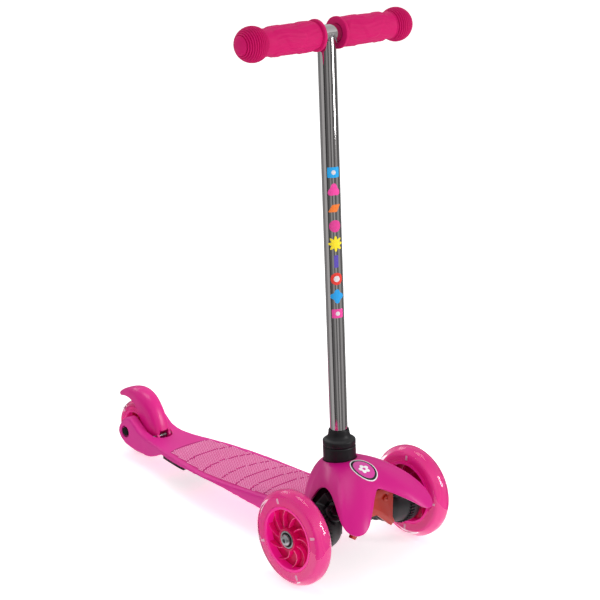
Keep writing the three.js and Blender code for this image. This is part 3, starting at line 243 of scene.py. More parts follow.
# %% Cards for the chrome
# Where each card starts and ends, in degrees from the camera's side, and how bright its grey is
CARDS = [
    (-180, -128, 0.24), (-128, -92, 0.24), (-92, -54, 0.5), (-54, -37, 0.04), (-37, -14, 0.12),
    (-14, 8, 0.32), (8, 22, 0.1), (22, 40, 0.44), (40, 66, 0.14), (66, 100, 0.36), (100, 128, 0.1),
    (128, 180, 0.24),
]
CARD_NEAR = 0.2
CARD_FAR = 7.0
CARD_TOP = 3.0
CARD_LIFT = 0.0008
CARD_STEPS = 8
camera_side = math.atan2(camera.location.y - front_axle_y, camera.location.x)


def mixed(a, b, share):
    """The value that lies this share of the way from a to b."""
    return a + (b - a) * share


def card(start, end, grey):
    """A slice of the floor whose far end is folded up, seen by reflections alone."""
    turns = [camera_side + math.radians(mixed(start, end, k / CARD_STEPS)) for k in range(CARD_STEPS + 1)]
    points = []
    for reach, height in ((CARD_NEAR, CARD_LIFT), (CARD_FAR, CARD_LIFT), (CARD_FAR, CARD_TOP)):
        points += [(reach * math.cos(t), front_axle_y + reach * math.sin(t), height) for t in turns]
    row = CARD_STEPS + 1
    faces = [(r * row + k, r * row + k + 1, (r + 1) * row + k + 1, (r + 1) * row + k)
             for r in range(2) for k in range(CARD_STEPS)]
    paint, _, _ = new_material(
        f"grey_card_{start + 180}", Base_Color=(0, 0, 0, 1), Roughness=1.0,
        Emission_Color=(grey, grey, grey, 1), Emission_Strength=1.0,
    )
    sheet = stage_sheet(f"card_{start + 180}", points, faces, paint)
    sheet.visible_camera = False
    sheet.visible_diffuse = False
    sheet.visible_shadow = False
    sheet.visible_transmission = False
    return sheet


for start, end, grey in CARDS:
    card(start, end, grey)
print("cards:", len(CARDS))

# %% Black flag
FLAG_X = -0.5
FLAG_START, FLAG_END = -0.3, 0.7
FLAG_TOP = 0.38
flag_paint, _, _ = new_material("black_felt", Base_Color=(0, 0, 0, 1), Roughness=1.0)
flag_points = [
    (FLAG_X, FLAG_START, 0), (FLAG_X, FLAG_END, 0),
    (FLAG_X, FLAG_END, FLAG_TOP), (FLAG_X, FLAG_START, FLAG_TOP),
]
flag = stage_sheet("black_flag", flag_points, [(0, 1, 2, 3)], flag_paint)
flag.visible_camera = False
flag.visible_glossy = False
flag.visible_transmission = False
flag.visible_shadow = False
print("flag:", round(FLAG_END - FLAG_START, 2), "by", FLAG_TOP, "metres")

# %% [markdown]
# ## Materials
#
# Most of the scooter is moulded polypropylene. Seen close, such a surface is never one flat colour:
# the pigment clouds a little, and the mould's fine grain breaks up the shine. One recipe makes all
# the mouldings, with its colour, its shine and its grain as values. The grain of the real mould is
# near 0.1 mm, too fine for this picture, so it is drawn a few times coarser.

# %% Moulded plastics
def place_on(tree):
    """The place on the piece, in metres, that a texture is worked out from."""
    return add(tree, "ShaderNodeTexCoord").outputs["Object"]


def per_mm(size):
    """The texture scale that gives a feature about this many millimetres."""
    return 1 / (size * MM)


def cloudy(tree, shader, light, dark, cloud):
    """The base colour drifts between two close tones."""
    noise = add(tree, "ShaderNodeTexNoise", {"Vector": place_on(tree), "Scale": per_mm(cloud), "Detail": 3.0})
    tones = {0: noise.outputs["Fac"], 6: linear(light), 7: linear(dark)}
    tone = add(tree, "ShaderNodeMix", tones, data_type="RGBA")
    tree.links.new(tone.outputs[2], shader.inputs["Base Color"])
    return noise


def uneven_shine(tree, shader, noise, low, high):
    """The roughness drifts between two values."""
    shine = add(tree, "ShaderNodeMapRange", {"Value": noise.outputs["Fac"], "To Min": low, "To Max": high})
    tree.links.new(shine.outputs["Result"], shader.inputs["Roughness"])


def grained(tree, shader, height, depth):
    """Bump from a height output, with the depth in millimetres."""
    bump = add(tree, "ShaderNodeBump", {"Height": height, "Strength": 1.0, "Distance": depth * MM})
    tree.links.new(bump.outputs["Normal"], shader.inputs["Normal"])


def moulded(name, light, dark, shine, grain, depth, cloud=45.0, **sockets):
    """A moulding: two close tones, a span of roughness, and its grain's size and depth in millimetres."""
    material, tree, shader = new_material(name, **sockets)
    noise = cloudy(tree, shader, light, dark, cloud)
    uneven_shine(tree, shader, noise, *shine)
    texture = {"Vector": place_on(tree), "Scale": per_mm(grain), "Detail": 2.0}
    fine = add(tree, "ShaderNodeTexNoise", texture)
    grained(tree, shader, fine.outputs["Fac"], depth)
    return material


# Glossy pink polypropylene of the cover and fender: an even shine with the faintest ripple
cover_pink = moulded(
    "pink_polypropylene", "#d01184", "#c80e7d", (0.3, 0.38), 1.6, 0.008, IOR=1.49, Specular_IOR_Level=0.32,
)
# The fender wears the same plastic painted lighter, which is painted light
fender_painted_lighter_pink = moulded(
    "lighter_painted_pink_polypropylene", "#ea1690", "#e21288", (0.28, 0.36), 1.6, 0.008, IOR=1.49,
)
# The deck is the same plastic from a grained mould, a little duller
deck_pink = moulded(
    "grained_pink_polypropylene", "#e8229a", "#df1c92", (0.42, 0.55), 0.9, 0.02, IOR=1.49,
)
# The panels one stands on are the roughest part of the deck's mould, painted a little darker than the deck as
# painted shade between the studs
tread_shaded_pink = moulded("tread_polypropylene", "#dc1c8a", "#d21881", (0.45, 0.6), 0.8, 0.03, IOR=1.49)
# Between the panels a matt strip is painted dark as painted shade in the grooves
groove_painted_shade_pink = moulded(
    "groove_painted_shade_polypropylene", "#a01260", "#8f0f55", (0.7, 0.8), 0.8, 0.02, Specular_IOR_Level=0.2,
)
# The studs are painted pale: a painted highlight on their glossy tops
stud_highlight_pink = moulded("tread_polypropylene_painted_highlight", "#ffbbe2", "#ffb0da", (0.25, 0.4), 0.8, 0.02, IOR=1.49)
# Thermoplastic rubber drinks light: deep pink, dull, softly pitted
grip_pink = moulded("pink_rubber", "#c60862", "#ba0659", (0.5, 0.62), 0.8, 0.03, Specular_IOR_Level=0.15)
# Glass filled nylon: black with a satin, slightly mottled skin
black_nylon = moulded(
    "black_nylon", "#141317", "#0e0d11", (0.38, 0.52), 0.7, 0.02, cloud=14.0, Specular_IOR_Level=0.4,
)
# ABS takes a strong orange and keeps a low, even shine
orange_abs = moulded("orange_abs", "#ac1f06", "#9f1a05", (0.35, 0.45), 1.2, 0.012)
# Acetal slides well and is left undyed
white_acetal = moulded("white_acetal", "#eeece6", "#e2e0da", (0.35, 0.45), 1.5, 0.01)
# Brake pad and bearing seals: rubber filled with soot, the dullest finish here
pad_rubber = moulded("black_rubber", "#1b1b1c", "#121213", (0.7, 0.85), 0.8, 0.06)
# The wheel core is a clear pink plastic over a rough inside, so it looks deep and wet
core_pink = moulded(
    "clear_pink_core", "#dc005c", "#b80048", (0.2, 0.3), 4.0, 0.45, cloud=9.0, IOR=1.53,
    Specular_IOR_Level=0.2,
)
# The spokes are the core's plastic painted brighter, as painted light where they stand free of the web
spoke_painted_light_pink = moulded(
    "clear_pink_spokes_painted_lighter", "#fb1484", "#ee0f76", (0.08, 0.14), 4.5, 0.4, cloud=12.0, IOR=1.53,
    Coat_Weight=1.0, Coat_Roughness=0.04,
)
print("finishes after the mouldings:", len(bpy.data.materials))

# %% [markdown]
# ### Clear tyre
#
# The tyre is cast in two shots: a ring of solid pink first, then clear polyurethane over it. Light
# bends at the clear skin and makes the pink ring look as wide as the tyre, but at the very edge one
# looks past it, and there the tyre turns clear. So the clear shot is drawn as real glass like plastic
# and the pink ring lies inside it.

# %% Tyre, light housing and metals
# The pink ring glows a little: painted light that stands for light entering the clear skin anywhere and coming out
# of the pink ring everywhere
RING_PAINTED_GLOW = 0.15
# A cast skin is never quite flat: the length and the depth of its ripple, in millimetres
RIPPLE_LENGTH = 14.0
RIPPLE_DEPTH = 0.2


def clear_urethane():
    """Cast polyurethane, clear as glass, with a slow ripple in its skin."""
    material, tree, shader = new_material(
        "clear_urethane", Base_Color=linear("#fff0f7"), Roughness=0.03, IOR=1.49, Transmission_Weight=1.0,
    )
    texture = {"Vector": place_on(tree), "Scale": per_mm(RIPPLE_LENGTH), "Detail": 1.0}
    ripple = add(tree, "ShaderNodeTexNoise", texture)
    grained(tree, shader, ripple.outputs["Fac"], RIPPLE_DEPTH)
    return material


def metal(name, light, dark, shine, scratch, depth, cloud=20.0, stretch=(1.0, 1.0, 1.0)):
    """Plated or bare metal: a clean tone, and scratches or polish lines drawn out along one axis."""
    material, tree, shader = new_material(name, Metallic=1.0)
    noise = cloudy(tree, shader, light, dark, cloud)
    uneven_shine(tree, shader, noise, *shine)
    lines = add(tree, "ShaderNodeMapping", {"Vector": place_on(tree), "Scale": stretch})
    texture = {"Vector": lines.outputs["Vector"], "Scale": per_mm(scratch), "Detail": 3.0}
    fine = add(tree, "ShaderNodeTexNoise", texture)
    grained(tree, shader, fine.outputs["Fac"], depth)
    return material


tyre_clear = clear_urethane()
# The solid shot of the tyre: light goes a few millimetres into it, and its glow is painted light
tyre_pink = moulded(
    "pink_urethane", "#ee0a96", "#e6078c", (0.3, 0.4), 2.0, 0.01, cloud=18.0, IOR=1.49,
    Subsurface_Weight=0.2, Subsurface_Radius=(0.006, 0.001, 0.002),
    Emission_Color=(1.0, 0.01, 0.26, 1.0), Emission_Strength=RING_PAINTED_GLOW,
)
# Bright chrome on a drawn tube, whose polish lines run along it
chrome = metal("chromed_steel", "#d6d2d1", "#c9c5c6", (0.05, 0.1), 3.0, 0.004, stretch=(1.0, 1.0, 0.05))
# Black oxide is a thin dark skin on steel
black_steel = metal("black_oxide_steel", "#3a383c", "#2c2a2e", (0.3, 0.42), 1.2, 0.01)
# Bright zinc on bolts, races and sleeves
zinc = metal("zinc_plated_steel", "#b4b6b8", "#9c9ea2", (0.22, 0.34), 1.2, 0.01)
# Nickel plated spring wire, smooth from the drawing die
spring_wire = metal("bright_spring_wire", "#d4d5d6", "#b2b3b6", (0.12, 0.2), 1.0, 0.006)
# The band that carries the lamps is polycarbonate, dyed pink and left half clear
frosted = moulded(
    "frosted_polycarbonate", "#f4238a", "#e81a7f", (0.25, 0.4), 1.5, 0.02, IOR=1.58, Transmission_Weight=0.35,
)
# The lamps are cast in pale resin
lamp_glow = moulded("lamp_dome", "#ffdcee", "#ffcce4", (0.1, 0.15), 2.0, 0.005, IOR=1.5)
print("finishes so far:", len(bpy.data.materials))

# %% [markdown]
# ## Shape tools
#
# Four hand tools cover nearly every piece: an outline with its corners rounded, an outline turned
# about an axis, a row of rings skinned into a body, and a mesh set down in its frame. The first three
# give plain points and faces, so they can be mixed freely, and the fourth makes a mesh of them.

# %% Outlines, turned bodies and lofts
def rounded(corners, radius, closed=True, steps=4):
    """The outline with each corner drawn as a short curve. An open outline keeps its two ends."""
    count = len(corners)
    drawn = []
    for i, corner in enumerate(corners):
        if not closed and i in (0, count - 1):
            drawn.append(tuple(corner))
            continue
        here, before, after = Vector(corner), Vector(corners[i - 1]), Vector(corners[(i + 1) % count])
        reach = min(radius, 0.45 * (before - here).length, 0.45 * (after - here).length)
        start = here + (before - here).normalized() * reach
        end = here + (after - here).normalized() * reach
        for k in range(steps + 1):
            s = k / steps
            drawn.append(tuple(start * (1 - s) ** 2 + here * 2 * s * (1 - s) + end * s * s))
    return drawn


def turned(profile, steps, closed=True):
    """(radius, along) points turned about the X axis."""
    points = []
    for radius, along in profile:
        for k in range(steps):
            turn = 2 * math.pi * k / steps
            points.append((along, -radius * math.sin(turn), radius * math.cos(turn)))
    return points, ring_faces(len(profile), steps, closed)


def ring_faces(rows, count, closed_rows, closed_ring=True):
    """The four sided faces between rows of this many points, which follow one another."""
    faces = []
    for r in range(rows if closed_rows else rows - 1):
        below = (r + 1) % rows * count
        for k in range(count if closed_ring else count - 1):
            after = (k + 1) % count
            faces.append((r * count + k, r * count + after, below + after, below + k))
    return faces


def lofted(rings, capped=True, closed_ring=True):
    """Rings of equal point counts skinned in order, with flat ends if capped."""
    count = len(rings[0])
    points = [tuple(p) for ring in rings for p in ring]
    faces = ring_faces(len(rings), count, False, closed_ring)
    if capped:
        faces.append(tuple(reversed(range(count))))
        faces.append(tuple(range(count * (len(rings) - 1), count * len(rings))))
    return points, faces


def moved(shape, matrix):
    """The same shape with all its points moved."""
    points, faces = shape
    return [tuple(matrix @ Vector(p)) for p in points], faces


def block(low, high):
    """A plain box between two corners."""
    (x0, y0, z0), (x1, y1, z1) = low, high
    rings = [[(x, y0, z0), (x, y1, z0), (x, y1, z1), (x, y0, z1)] for x in (x0, x1)]
    return lofted(rings)


# What was turned about X stands about Z
ABOUT_Z = Matrix.Rotation(-math.pi / 2, 4, "Y")
MIRROR = Matrix.Scale(-1, 4, (1, 0, 0))


def for_side(side):
    """Shapes are drawn for the left, and the right side is their mirror image."""
    return MIRROR if side == "right" else Matrix.Identity(4)


print("points on a rounded square:", len(rounded(((0, 0), (1, 0), (1, 1), (0, 1)), 0.2)))

# %% Meshes set down in the row frame
# Points closer than this become one, and edges shorter than this go, in millimetres
MERGE_GAP = 0.001
LEAST_EDGE = 0.0001


def build(name, shapes, place, material=None, outward=True):
    """One object from several shapes drawn in millimetres, set down in the row frame."""
    mesh = bpy.data.meshes.new(name)
    points, faces = [], []
    for shape_points, shape_faces in shapes:
        start = len(points)
        points += shape_points
        faces += [tuple(start + i for i in face) for face in shape_faces]
    mesh.from_pydata([place @ Vector(p) for p in points], [], faces)
    tidy = bmesh.new()
    tidy.from_mesh(mesh)
    bmesh.ops.remove_doubles(tidy, verts=tidy.verts, dist=MERGE_GAP * MM)
    bmesh.ops.dissolve_degenerate(tidy, edges=tidy.edges, dist=LEAST_EDGE * MM)
    if outward:
        bmesh.ops.recalc_face_normals(tidy, faces=tidy.faces)
    tidy.to_mesh(mesh)
    tidy.free()
    obj = bpy.data.objects.new(name, mesh)
    bpy.context.scene.collection.objects.link(obj)
    if material:
        mesh.materials.append(material)
    return obj


def settle(obj):
    """Turns what the modifiers make into the object's plain mesh."""
    bpy.context.view_layer.update()
    graph = bpy.context.evaluated_depsgraph_get()
    made = bpy.data.meshes.new_from_object(obj.evaluated_get(graph))
    obj.modifiers.clear()
    obj.data = made
    return obj


def modify(obj, kind, **settings):
    """Adds one modifier with its settings."""
    modifier = obj.modifiers.new(kind.lower(), kind)
    for name, value in settings.items():
        setattr(modifier, name, value)
    return modifier


def cut_away(obj, *tools):
    """Takes the tools' solids out of the object and removes them."""
    for tool in tools:
        modify(obj, "BOOLEAN", operation="DIFFERENCE", solver="EXACT", use_self=True, object=tool)
    settle(obj)
    for tool in tools:
        bpy.data.objects.remove(tool)
    return obj


def fuse(obj, voxel, smooth):
    """Melts overlapping solids into one moulding with soft inner corners."""
    modify(obj, "REMESH", mode="VOXEL", voxel_size=voxel * MM, use_smooth_shade=True)
    modify(obj, "SMOOTH", factor=0.5, iterations=smooth)
    return settle(obj)


def soften(obj, width, segments=2, angle=32.0):
    """Breaks the sharp edges, as a mould or a lathe does."""
    modify(
        obj, "BEVEL", width=width * MM, segments=segments, limit_method="ANGLE",
        angle_limit=math.radians(angle), use_clamp_overlap=True,
    )
    return settle(obj)


def face_out(obj):
    """Turns an open shell's faces so that its highest one looks up."""
    highest = max(obj.data.polygons, key=lambda face: face.center.z)
    if highest.normal.z < 0:
        obj.data.flip_normals()


def finish_piece(obj, node, replaced=(), crease=35.0, material=None, stretched=None):
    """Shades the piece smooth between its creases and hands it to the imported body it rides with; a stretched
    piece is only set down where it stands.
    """
    if material:
        obj.data.materials.clear()
        obj.data.materials.append(material)
    obj.data.shade_smooth()
    obj.data.set_sharp_from_angle(angle=math.radians(crease))
    if stretched:
        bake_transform(obj)
    else:
        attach(obj, body_of_node[node])
    if replaced:
        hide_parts(*replaced)
    return obj


print("bodies that a piece can ride with:", len(nodes_of_body))

# %% [markdown]
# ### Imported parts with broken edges
#
# Plates, brackets and nuts have the right shape already. A copy of such a part is merged, its flat
# faces are joined, and its edges are bevelled, because no real edge is knife sharp: the thin line of
# light on a bevel is what makes a part look solid.

# %% Bevelled copies
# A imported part's points closer than this are one, in millimetres
PACKED_GAP = 0.002
# Faces that meet at less than this are one flat face
FLAT_ANGLE = math.radians(0.8)


def bevelled(node, name, material, width):
    """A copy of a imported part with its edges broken, which stands for it."""
    mesh = nodes[node].data.copy()
    tidy = bmesh.new()
    tidy.from_mesh(mesh)
    bmesh.ops.remove_doubles(tidy, verts=tidy.verts, dist=PACKED_GAP * MM)
    bmesh.ops.dissolve_limit(
        tidy, angle_limit=FLAT_ANGLE, verts=tidy.verts, edges=tidy.edges, delimit={"NORMAL"}
    )
    tidy.to_mesh(mesh)
    tidy.free()
    obj = bpy.data.objects.new(name, mesh)
    bpy.context.scene.collection.objects.link(obj)
    soften(obj, width)
    return finish_piece(obj, node, (node,), material=material)


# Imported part, name of the copy, material, slot and width of the bevel in millimetres
PLAIN_PARTS = [
    ("head_frame", "inner_frame", black_nylon, "black_plastic", 0.8),
    ("front_plate", "orange_plate", orange_abs, "orange_plastic", 0.8),
    ("tie_rod", "steering_link_bar", black_nylon, "black_plastic", 0.6),
    ("brace_plate", "underside_plate", black_nylon, "black_plastic", 0.6),
    ("brake_pad", "brake_block", pad_rubber, "brake_rubber", 0.8),
    ("brake_pin", "brake_hinge_pin", zinc, "zinc_steel", 0.3),
    ("collet", "clamping_ring", white_acetal, "white_plastic", 0.2),
    ("stem_plug", "stem_foot_plug", black_nylon, "black_plastic", 0.4),
]
for side in ("left", "right"):
    PLAIN_PARTS += [
        (f"kingpin_{side}", f"kingpin_bolt_{side}", black_steel, "zinc_steel", 0.4),
        (f"kingpin_nut_{side}", f"kingpin_lock_nut_{side}", black_steel, "zinc_steel", 0.4),
        (f"tie_pin_{side}", f"link_pin_{side}", zinc, "zinc_steel", 0.3),
        (f"rear_spacer_{side}", f"axle_spacer_{side}", zinc, "zinc_steel", 0.3),
    ]
for wheel in ("front_left", "front_right", "rear"):
    PLAIN_PARTS.append((f"{wheel}_magnet_sleeve", f"magnet_tube_{wheel}", zinc, "zinc_steel", 0.3))
for node, name, material, slot, width in PLAIN_PARTS:
    bevelled(node, name, material, width)
print("bevelled copies:", len(PLAIN_PARTS))

# %% [markdown]
# ## Repeating things with Geometry Nodes
#
# Spokes, lamp blocks and the fins of the steering drums repeat round an axis. A small node tree takes
# the object's own mesh, puts copies of it round the X axis, and hands back one mesh. The count and the
# first turn are named inputs, so the same tree serves every wheel.

# %% Copies round an axis
def new_tree(name, inputs):
    """An empty tree with these inputs, what comes in and what goes out."""
    tree = bpy.data.node_groups.new(name, "GeometryNodeTree")
    tree.interface.new_socket("Geometry", in_out="INPUT", socket_type="NodeSocketGeometry")
    for label, (kind, value) in inputs.items():
        socket = tree.interface.new_socket(label, in_out="INPUT", socket_type=kind)
        if value is not None:
            socket.default_value = value
    tree.interface.new_socket("Geometry", in_out="OUTPUT", socket_type="NodeSocketGeometry")
    return tree, tree.nodes.new("NodeGroupInput").outputs, tree.nodes.new("NodeGroupOutput").inputs


def end_tree(tree, geometry, material, into):
    """Every tree ends the same way: real geometry, wearing its material."""
    real = add(tree, "GeometryNodeRealizeInstances", {"Geometry": geometry})
    worn = add(tree, "GeometryNodeSetMaterial", {"Geometry": real.outputs["Geometry"], "Material": material})
    tree.links.new(worn.outputs["Geometry"], into["Geometry"])


def run_tree(obj, tree, values):
    """Runs a tree on the object with these values and keeps what it makes."""
    modifier = obj.modifiers.new(tree.name, "NODES")
    modifier.node_group = tree
    for item in tree.interface.items_tree:
        if item.item_type == "SOCKET" and item.in_out == "INPUT" and item.name in values:
            modifier[item.identifier] = values[item.name]
    return settle(obj)


def ring_tree():
    """Copies of the object's own mesh on evenly spaced turns about X."""
    tree, given, wanted = new_tree("copies_round_x", {
        "Count": ("NodeSocketInt", 8),
        "First Turn": ("NodeSocketFloat", 0.0),
        "Material": ("NodeSocketMaterial", None),
    })
    spots = add(tree, "GeometryNodePoints", {"Count": given["Count"]})
    step = add(tree, "ShaderNodeMath", {0: 2 * math.pi, 1: given["Count"]}, operation="DIVIDE")
    index = add(tree, "GeometryNodeInputIndex")
    turn = add(
        tree, "ShaderNodeMath", {0: index.outputs[0], 1: step.outputs[0], 2: given["First Turn"]},
        operation="MULTIPLY_ADD",
    )
    euler = add(tree, "ShaderNodeCombineXYZ", {"X": turn.outputs[0]})
    rotation = add(tree, "FunctionNodeEulerToRotation", {0: euler.outputs[0]})
    copies = add(tree, "GeometryNodeInstanceOnPoints", {
        "Points": spots.outputs[0], "Instance": given["Geometry"], "Rotation": rotation.outputs[0],
    })
    end_tree(tree, copies.outputs["Instances"], given["Material"], wanted)
    return tree


round_x = ring_tree()


def repeated(name, shapes, place, count, first_turn, material):
    """The shapes, copied round the X axis of their own frame, then set down."""
    obj = build(name, shapes, Matrix.Scale(MM, 4))
    run_tree(obj, round_x, {"Count": count, "First Turn": first_turn, "Material": material})
    unscaled = place @ Matrix.Scale(1 / MM, 4)
    obj.data.transform(unscaled)
    return obj


print("node tree:", round_x.name)

# %% [markdown]
# ## Wheels
#
# Each wheel is a stack of turned parts: the clear tyre, the core with its boss, web and rim, two ball
# bearings, and in the tyre's bore a frosted band with small pale lamps. All are drawn about the
# wheel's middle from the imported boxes. The lamps reach just out of the pink ring, so they show through
# the clear skin, bent as a lens bends them.

# %% Wheel sizes
LATHE_STEPS = 120
SPOKES = {"front_right": 10, "front_left": 10, "rear": 7}


def wheel_sizes(wheel):
    """Middle, tyre radius, half width and rim radius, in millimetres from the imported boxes."""
    low, high, middle = box_of(f"{wheel}_tyre")
    rim_low, rim_high, _ = box_of(f"{wheel}_hub")
    place = Matrix.Translation(middle) @ Matrix.Scale(MM, 4)
    return place, (high.z - low.z) / 2 / MM, half_width(f"{wheel}_tyre"), (rim_high.z - rim_low.z) / 2 / MM


def wear_between(piece, place, low, high, material):
    """Faces between these two radii about the wheel's axis wear a second material."""
    piece.data.materials.append(material)
    for face in piece.data.polygons:
        spot = place.inverted() @ face.center
        face.material_index = 1 if low < math.hypot(spot.y, spot.z) < high else 0


for wheel in SPOKES:
    _, radius, half, rim = wheel_sizes(wheel)
    print(wheel, "radius", round(radius, 1), "half width", round(half, 1), "rim", round(rim, 1))

# %% Tyre
TYRE_EDGE = 6.0
TREAD_CROWN = 0.8
TYRE_ROUND = 3.2
# The tyre grips the rim by this much, and the pink ring starts a little further out
TYRE_BITE = 0.1
RING_START = 0.2
RING_EDGE = 7.5
RING_SIDE = 1.6
RING_ROUND = 5.0


def tyre_profile(radius, half, bore):
    """A flat side, a soft shoulder and a tread with a slight crown."""
    shoulder, crown = radius - TYRE_EDGE, radius - TREAD_CROWN
    outer = [
        (bore, -half), (shoulder, -half), (crown, -half + TYRE_EDGE), (radius, 0),
        (crown, half - TYRE_EDGE), (shoulder, half), (bore, half),
    ]
    return rounded(outer, TYRE_ROUND, closed=False, steps=5)


def ring_profile(radius, half, bore):
    """The solid pink shot inside the clear one."""
    inner, outer, side = bore + RING_START, radius - RING_EDGE, half - RING_SIDE
    corners = [(inner, -side), (outer, -side), (outer, side), (inner, side)]
    return rounded(corners, RING_ROUND, closed=False, steps=6)


def make_tyre(wheel):
    place, radius, half, rim = wheel_sizes(wheel)
    node, bore = f"{wheel}_tyre", rim - TYRE_BITE
    skin = turned(tyre_profile(radius, half, bore), LATHE_STEPS)
    tyre = build(f"clear_tyre_{wheel}", [skin], place, tyre_clear)
    finish_piece(tyre, node, (node,), crease=50)
    solid = turned(ring_profile(radius, half, bore), LATHE_STEPS)
    ring = build(f"pink_tyre_{wheel}", [solid], place, tyre_pink)
    return finish_piece(ring, node, crease=50)


print("clear skin outside the pink ring:", RING_EDGE, "mm at the tread,", RING_SIDE, "mm at the side")

# %% Core and spokes
RIM_WALL = 4.0
CORE_INSET = 0.4
CORE_ROUND = 0.9
HUB_BOSS = 15.0
HUB_WEB = 2.6
# How far the boss and the rim slope on their way to the web
BOSS_DRAFT = 0.8
RIM_DRAFT = 0.6
SLEEVE_BORE = 9.0
BEARING_RADIUS = 11.0
BEARING_WIDTH = 7.0
BEARING_PLAY = 0.3
# Faces further out than this part of the rim's wall are seen through the tyre and wear its pink, painted glow and
# all
RIM_SKIN = 0.5


def core_profile(half, rim):
    """The section of the core: bearing seat, boss, web and rim on one side, then on the other."""
    inner = rim - RIM_WALL
    face, web = half - CORE_INSET, HUB_WEB / 2
    seat, bore = half - BEARING_WIDTH - BEARING_PLAY, BEARING_RADIUS + BEARING_PLAY
    right = [
        (SLEEVE_BORE, seat), (bore, seat), (bore, half), (HUB_BOSS - BOSS_DRAFT, half),
        (HUB_BOSS + BOSS_DRAFT, web), (inner - RIM_DRAFT, web), (inner, face), (rim, face),
    ]
    return rounded(right + [(r, -x) for r, x in reversed(right)], CORE_ROUND, steps=3)


SPOKE_SWEEP = math.radians(30)
SPOKE_STEPS = 14
# How far a spoke runs into the boss
SPOKE_ROOT = 1.0
SPOKE_INSET = 3.4
SPOKE_WAIST = 2.2
# Half of its thickness in the middle, at the boss and at the rim, and half of that of its edges
SPOKE_AT_BOSS, SPOKE_AT_RIM = 1.7, 1.1
SPOKE_EDGE = 0.7
SPOKE_ROUND = 0.6


def vane(half, rim):
    """One curved spoke, thick at the boss, thinner towards the rim, lower in the middle of its length."""
    start, end = HUB_BOSS - SPOKE_ROOT, rim - RIM_WALL
    rings = []
    for i in range(SPOKE_STEPS + 1):
        s = i / SPOKE_STEPS
        radius = mixed(start, end, s)
        turn = SPOKE_SWEEP * s * s
        out = Vector((0, -math.sin(turn), math.cos(turn)))
        across = Vector((0, -math.cos(turn), -math.sin(turn)))
        rise = half - SPOKE_INSET - SPOKE_WAIST * math.sin(math.pi * s)
        thick = mixed(SPOKE_AT_BOSS, SPOKE_AT_RIM, s)
        corners = [
            (rise, -SPOKE_EDGE), (rise, SPOKE_EDGE), (0, thick),
            (-rise, SPOKE_EDGE), (-rise, -SPOKE_EDGE), (0, -thick),
        ]
        section = rounded(corners, SPOKE_ROUND, steps=2)
        rings.append([out * radius + across * b + Vector((a, 0, 0)) for a, b in section])
    return lofted(rings)


def make_core(wheel):
    place, radius, half, rim = wheel_sizes(wheel)
    node = f"{wheel}_hub"
    core = build(f"core_{wheel}", [turned(core_profile(half, rim), LATHE_STEPS)], place, core_pink)
    wear_between(core, place, rim - RIM_WALL - RIM_SKIN, radius, tyre_pink)
    finish_piece(core, node, (node,))
    spokes = repeated(f"spokes_{wheel}", [vane(half, rim)], place, SPOKES[wheel], 0.0, spoke_painted_light_pink)
    return finish_piece(spokes, node)


print("spokes:", sum(SPOKES.values()))

# %% Lamp ring
BORE_GAP = 0.4
RING_HALF = 4.0
RING_WALL = 1.8
RING_CORNER = 0.4
LAMP_COUNT = 4
LAMP_TURNS = {"front_right": math.radians(-21), "front_left": 0.0, "rear": math.radians(40)}
# Half of a lamp's width at its foot and at its top, and its height
LAMP_FOOT, LAMP_TOP = 1.8, 1.4
LAMP_HEIGHT = 6.5
LAMP_ROUND = 0.6
LAMP_GAP = 0.6
LAMP_PROUD = 0.35


def make_lamps(wheel):
    place, _, half, rim = wheel_sizes(wheel)
    node = f"{wheel}_light_ring"
    inner = rim + BORE_GAP
    outer = inner + RING_WALL
    corners = [(inner, -RING_HALF), (outer, -RING_HALF), (outer, RING_HALF), (inner, RING_HALF)]
    band = turned(rounded(corners, RING_CORNER), LATHE_STEPS)
    ring = build(f"lamp_ring_{wheel}", [band], place, frosted)
    finish_piece(ring, node, (node,))
    side, foot = half - RING_SIDE + LAMP_PROUD, outer + LAMP_GAP
    top = foot + LAMP_HEIGHT
    section = rounded([(-LAMP_FOOT, foot), (LAMP_FOOT, foot), (LAMP_TOP, top), (-LAMP_TOP, top)], LAMP_ROUND)
    pod = lofted([[(x, y, z) for y, z in section] for x in (-side, side)])
    pods = repeated(f"lamps_{wheel}", [pod], place, LAMP_COUNT, LAMP_TURNS[wheel], lamp_glow)
    return finish_piece(pods, node)


print("lamps in the wheels:", LAMP_COUNT * len(SPOKES))

# %% Ball bearings
# Outer race, rubber seal and inner race: radii, how deep the face lies, and the corner
BEARING_PARTS = [(9.3, BEARING_RADIUS, 0.0, 0.5), (6.2, 9.4, 0.7, 0.3), (4.3, 6.3, 0.0, 0.4)]
BEARING_STEPS = 64
# Between its two steel races a bearing is closed by a black rubber seal
SEAL_INNER, SEAL_OUTER = 6.4, 9.2


def make_bearings(wheel):
    place, _, half, _ = wheel_sizes(wheel)
    for label, side in OUTWARD.items():
        back = side * (half - BEARING_WIDTH)
        shapes = []
        for inner, outer, depth, corner in BEARING_PARTS:
            face = side * (half - depth)
            outline = rounded([(inner, face), (outer, face), (outer, back), (inner, back)], corner)
            shapes.append(turned(outline, BEARING_STEPS))
        bearing = build(f"bearing_{wheel}_{label}", shapes, place, zinc)
        wear_between(bearing, place, SEAL_INNER, SEAL_OUTER, pad_rubber)
        node = f"{wheel}_bearing_{label}"
        finish_piece(bearing, node, (node,))


for wheel in SPOKES:
    make_tyre(wheel)
    make_core(wheel)
    make_lamps(wheel)
    make_bearings(wheel)
print("wheels dressed:", len(SPOKES))

# %% [markdown]
# ## Steering knuckles and axle bolts
#
# Beside each front wheel stands a black drum that turns about the kingpin. It is one moulding with a
# horn for the spring and an arm for the link, so the three solids are drawn to overlap and then
# melted together on a fine voxel grid, which leaves the small inner radii a mould would leave.

# %% Knuckles
# Radius and place along the axle, from the steering side out to the flange and its boss
DRUM_PROFILE = [
    (0, -14), (20, -14), (24, -10), (27, -4), (30, 8), (31.5, 19), (33.5, 21), (33.5, 30),
    (8, 30), (8, 34.6), (0, 34.6),
]
DRUM_ROUND = 1.6
DRUM_STEPS = 72
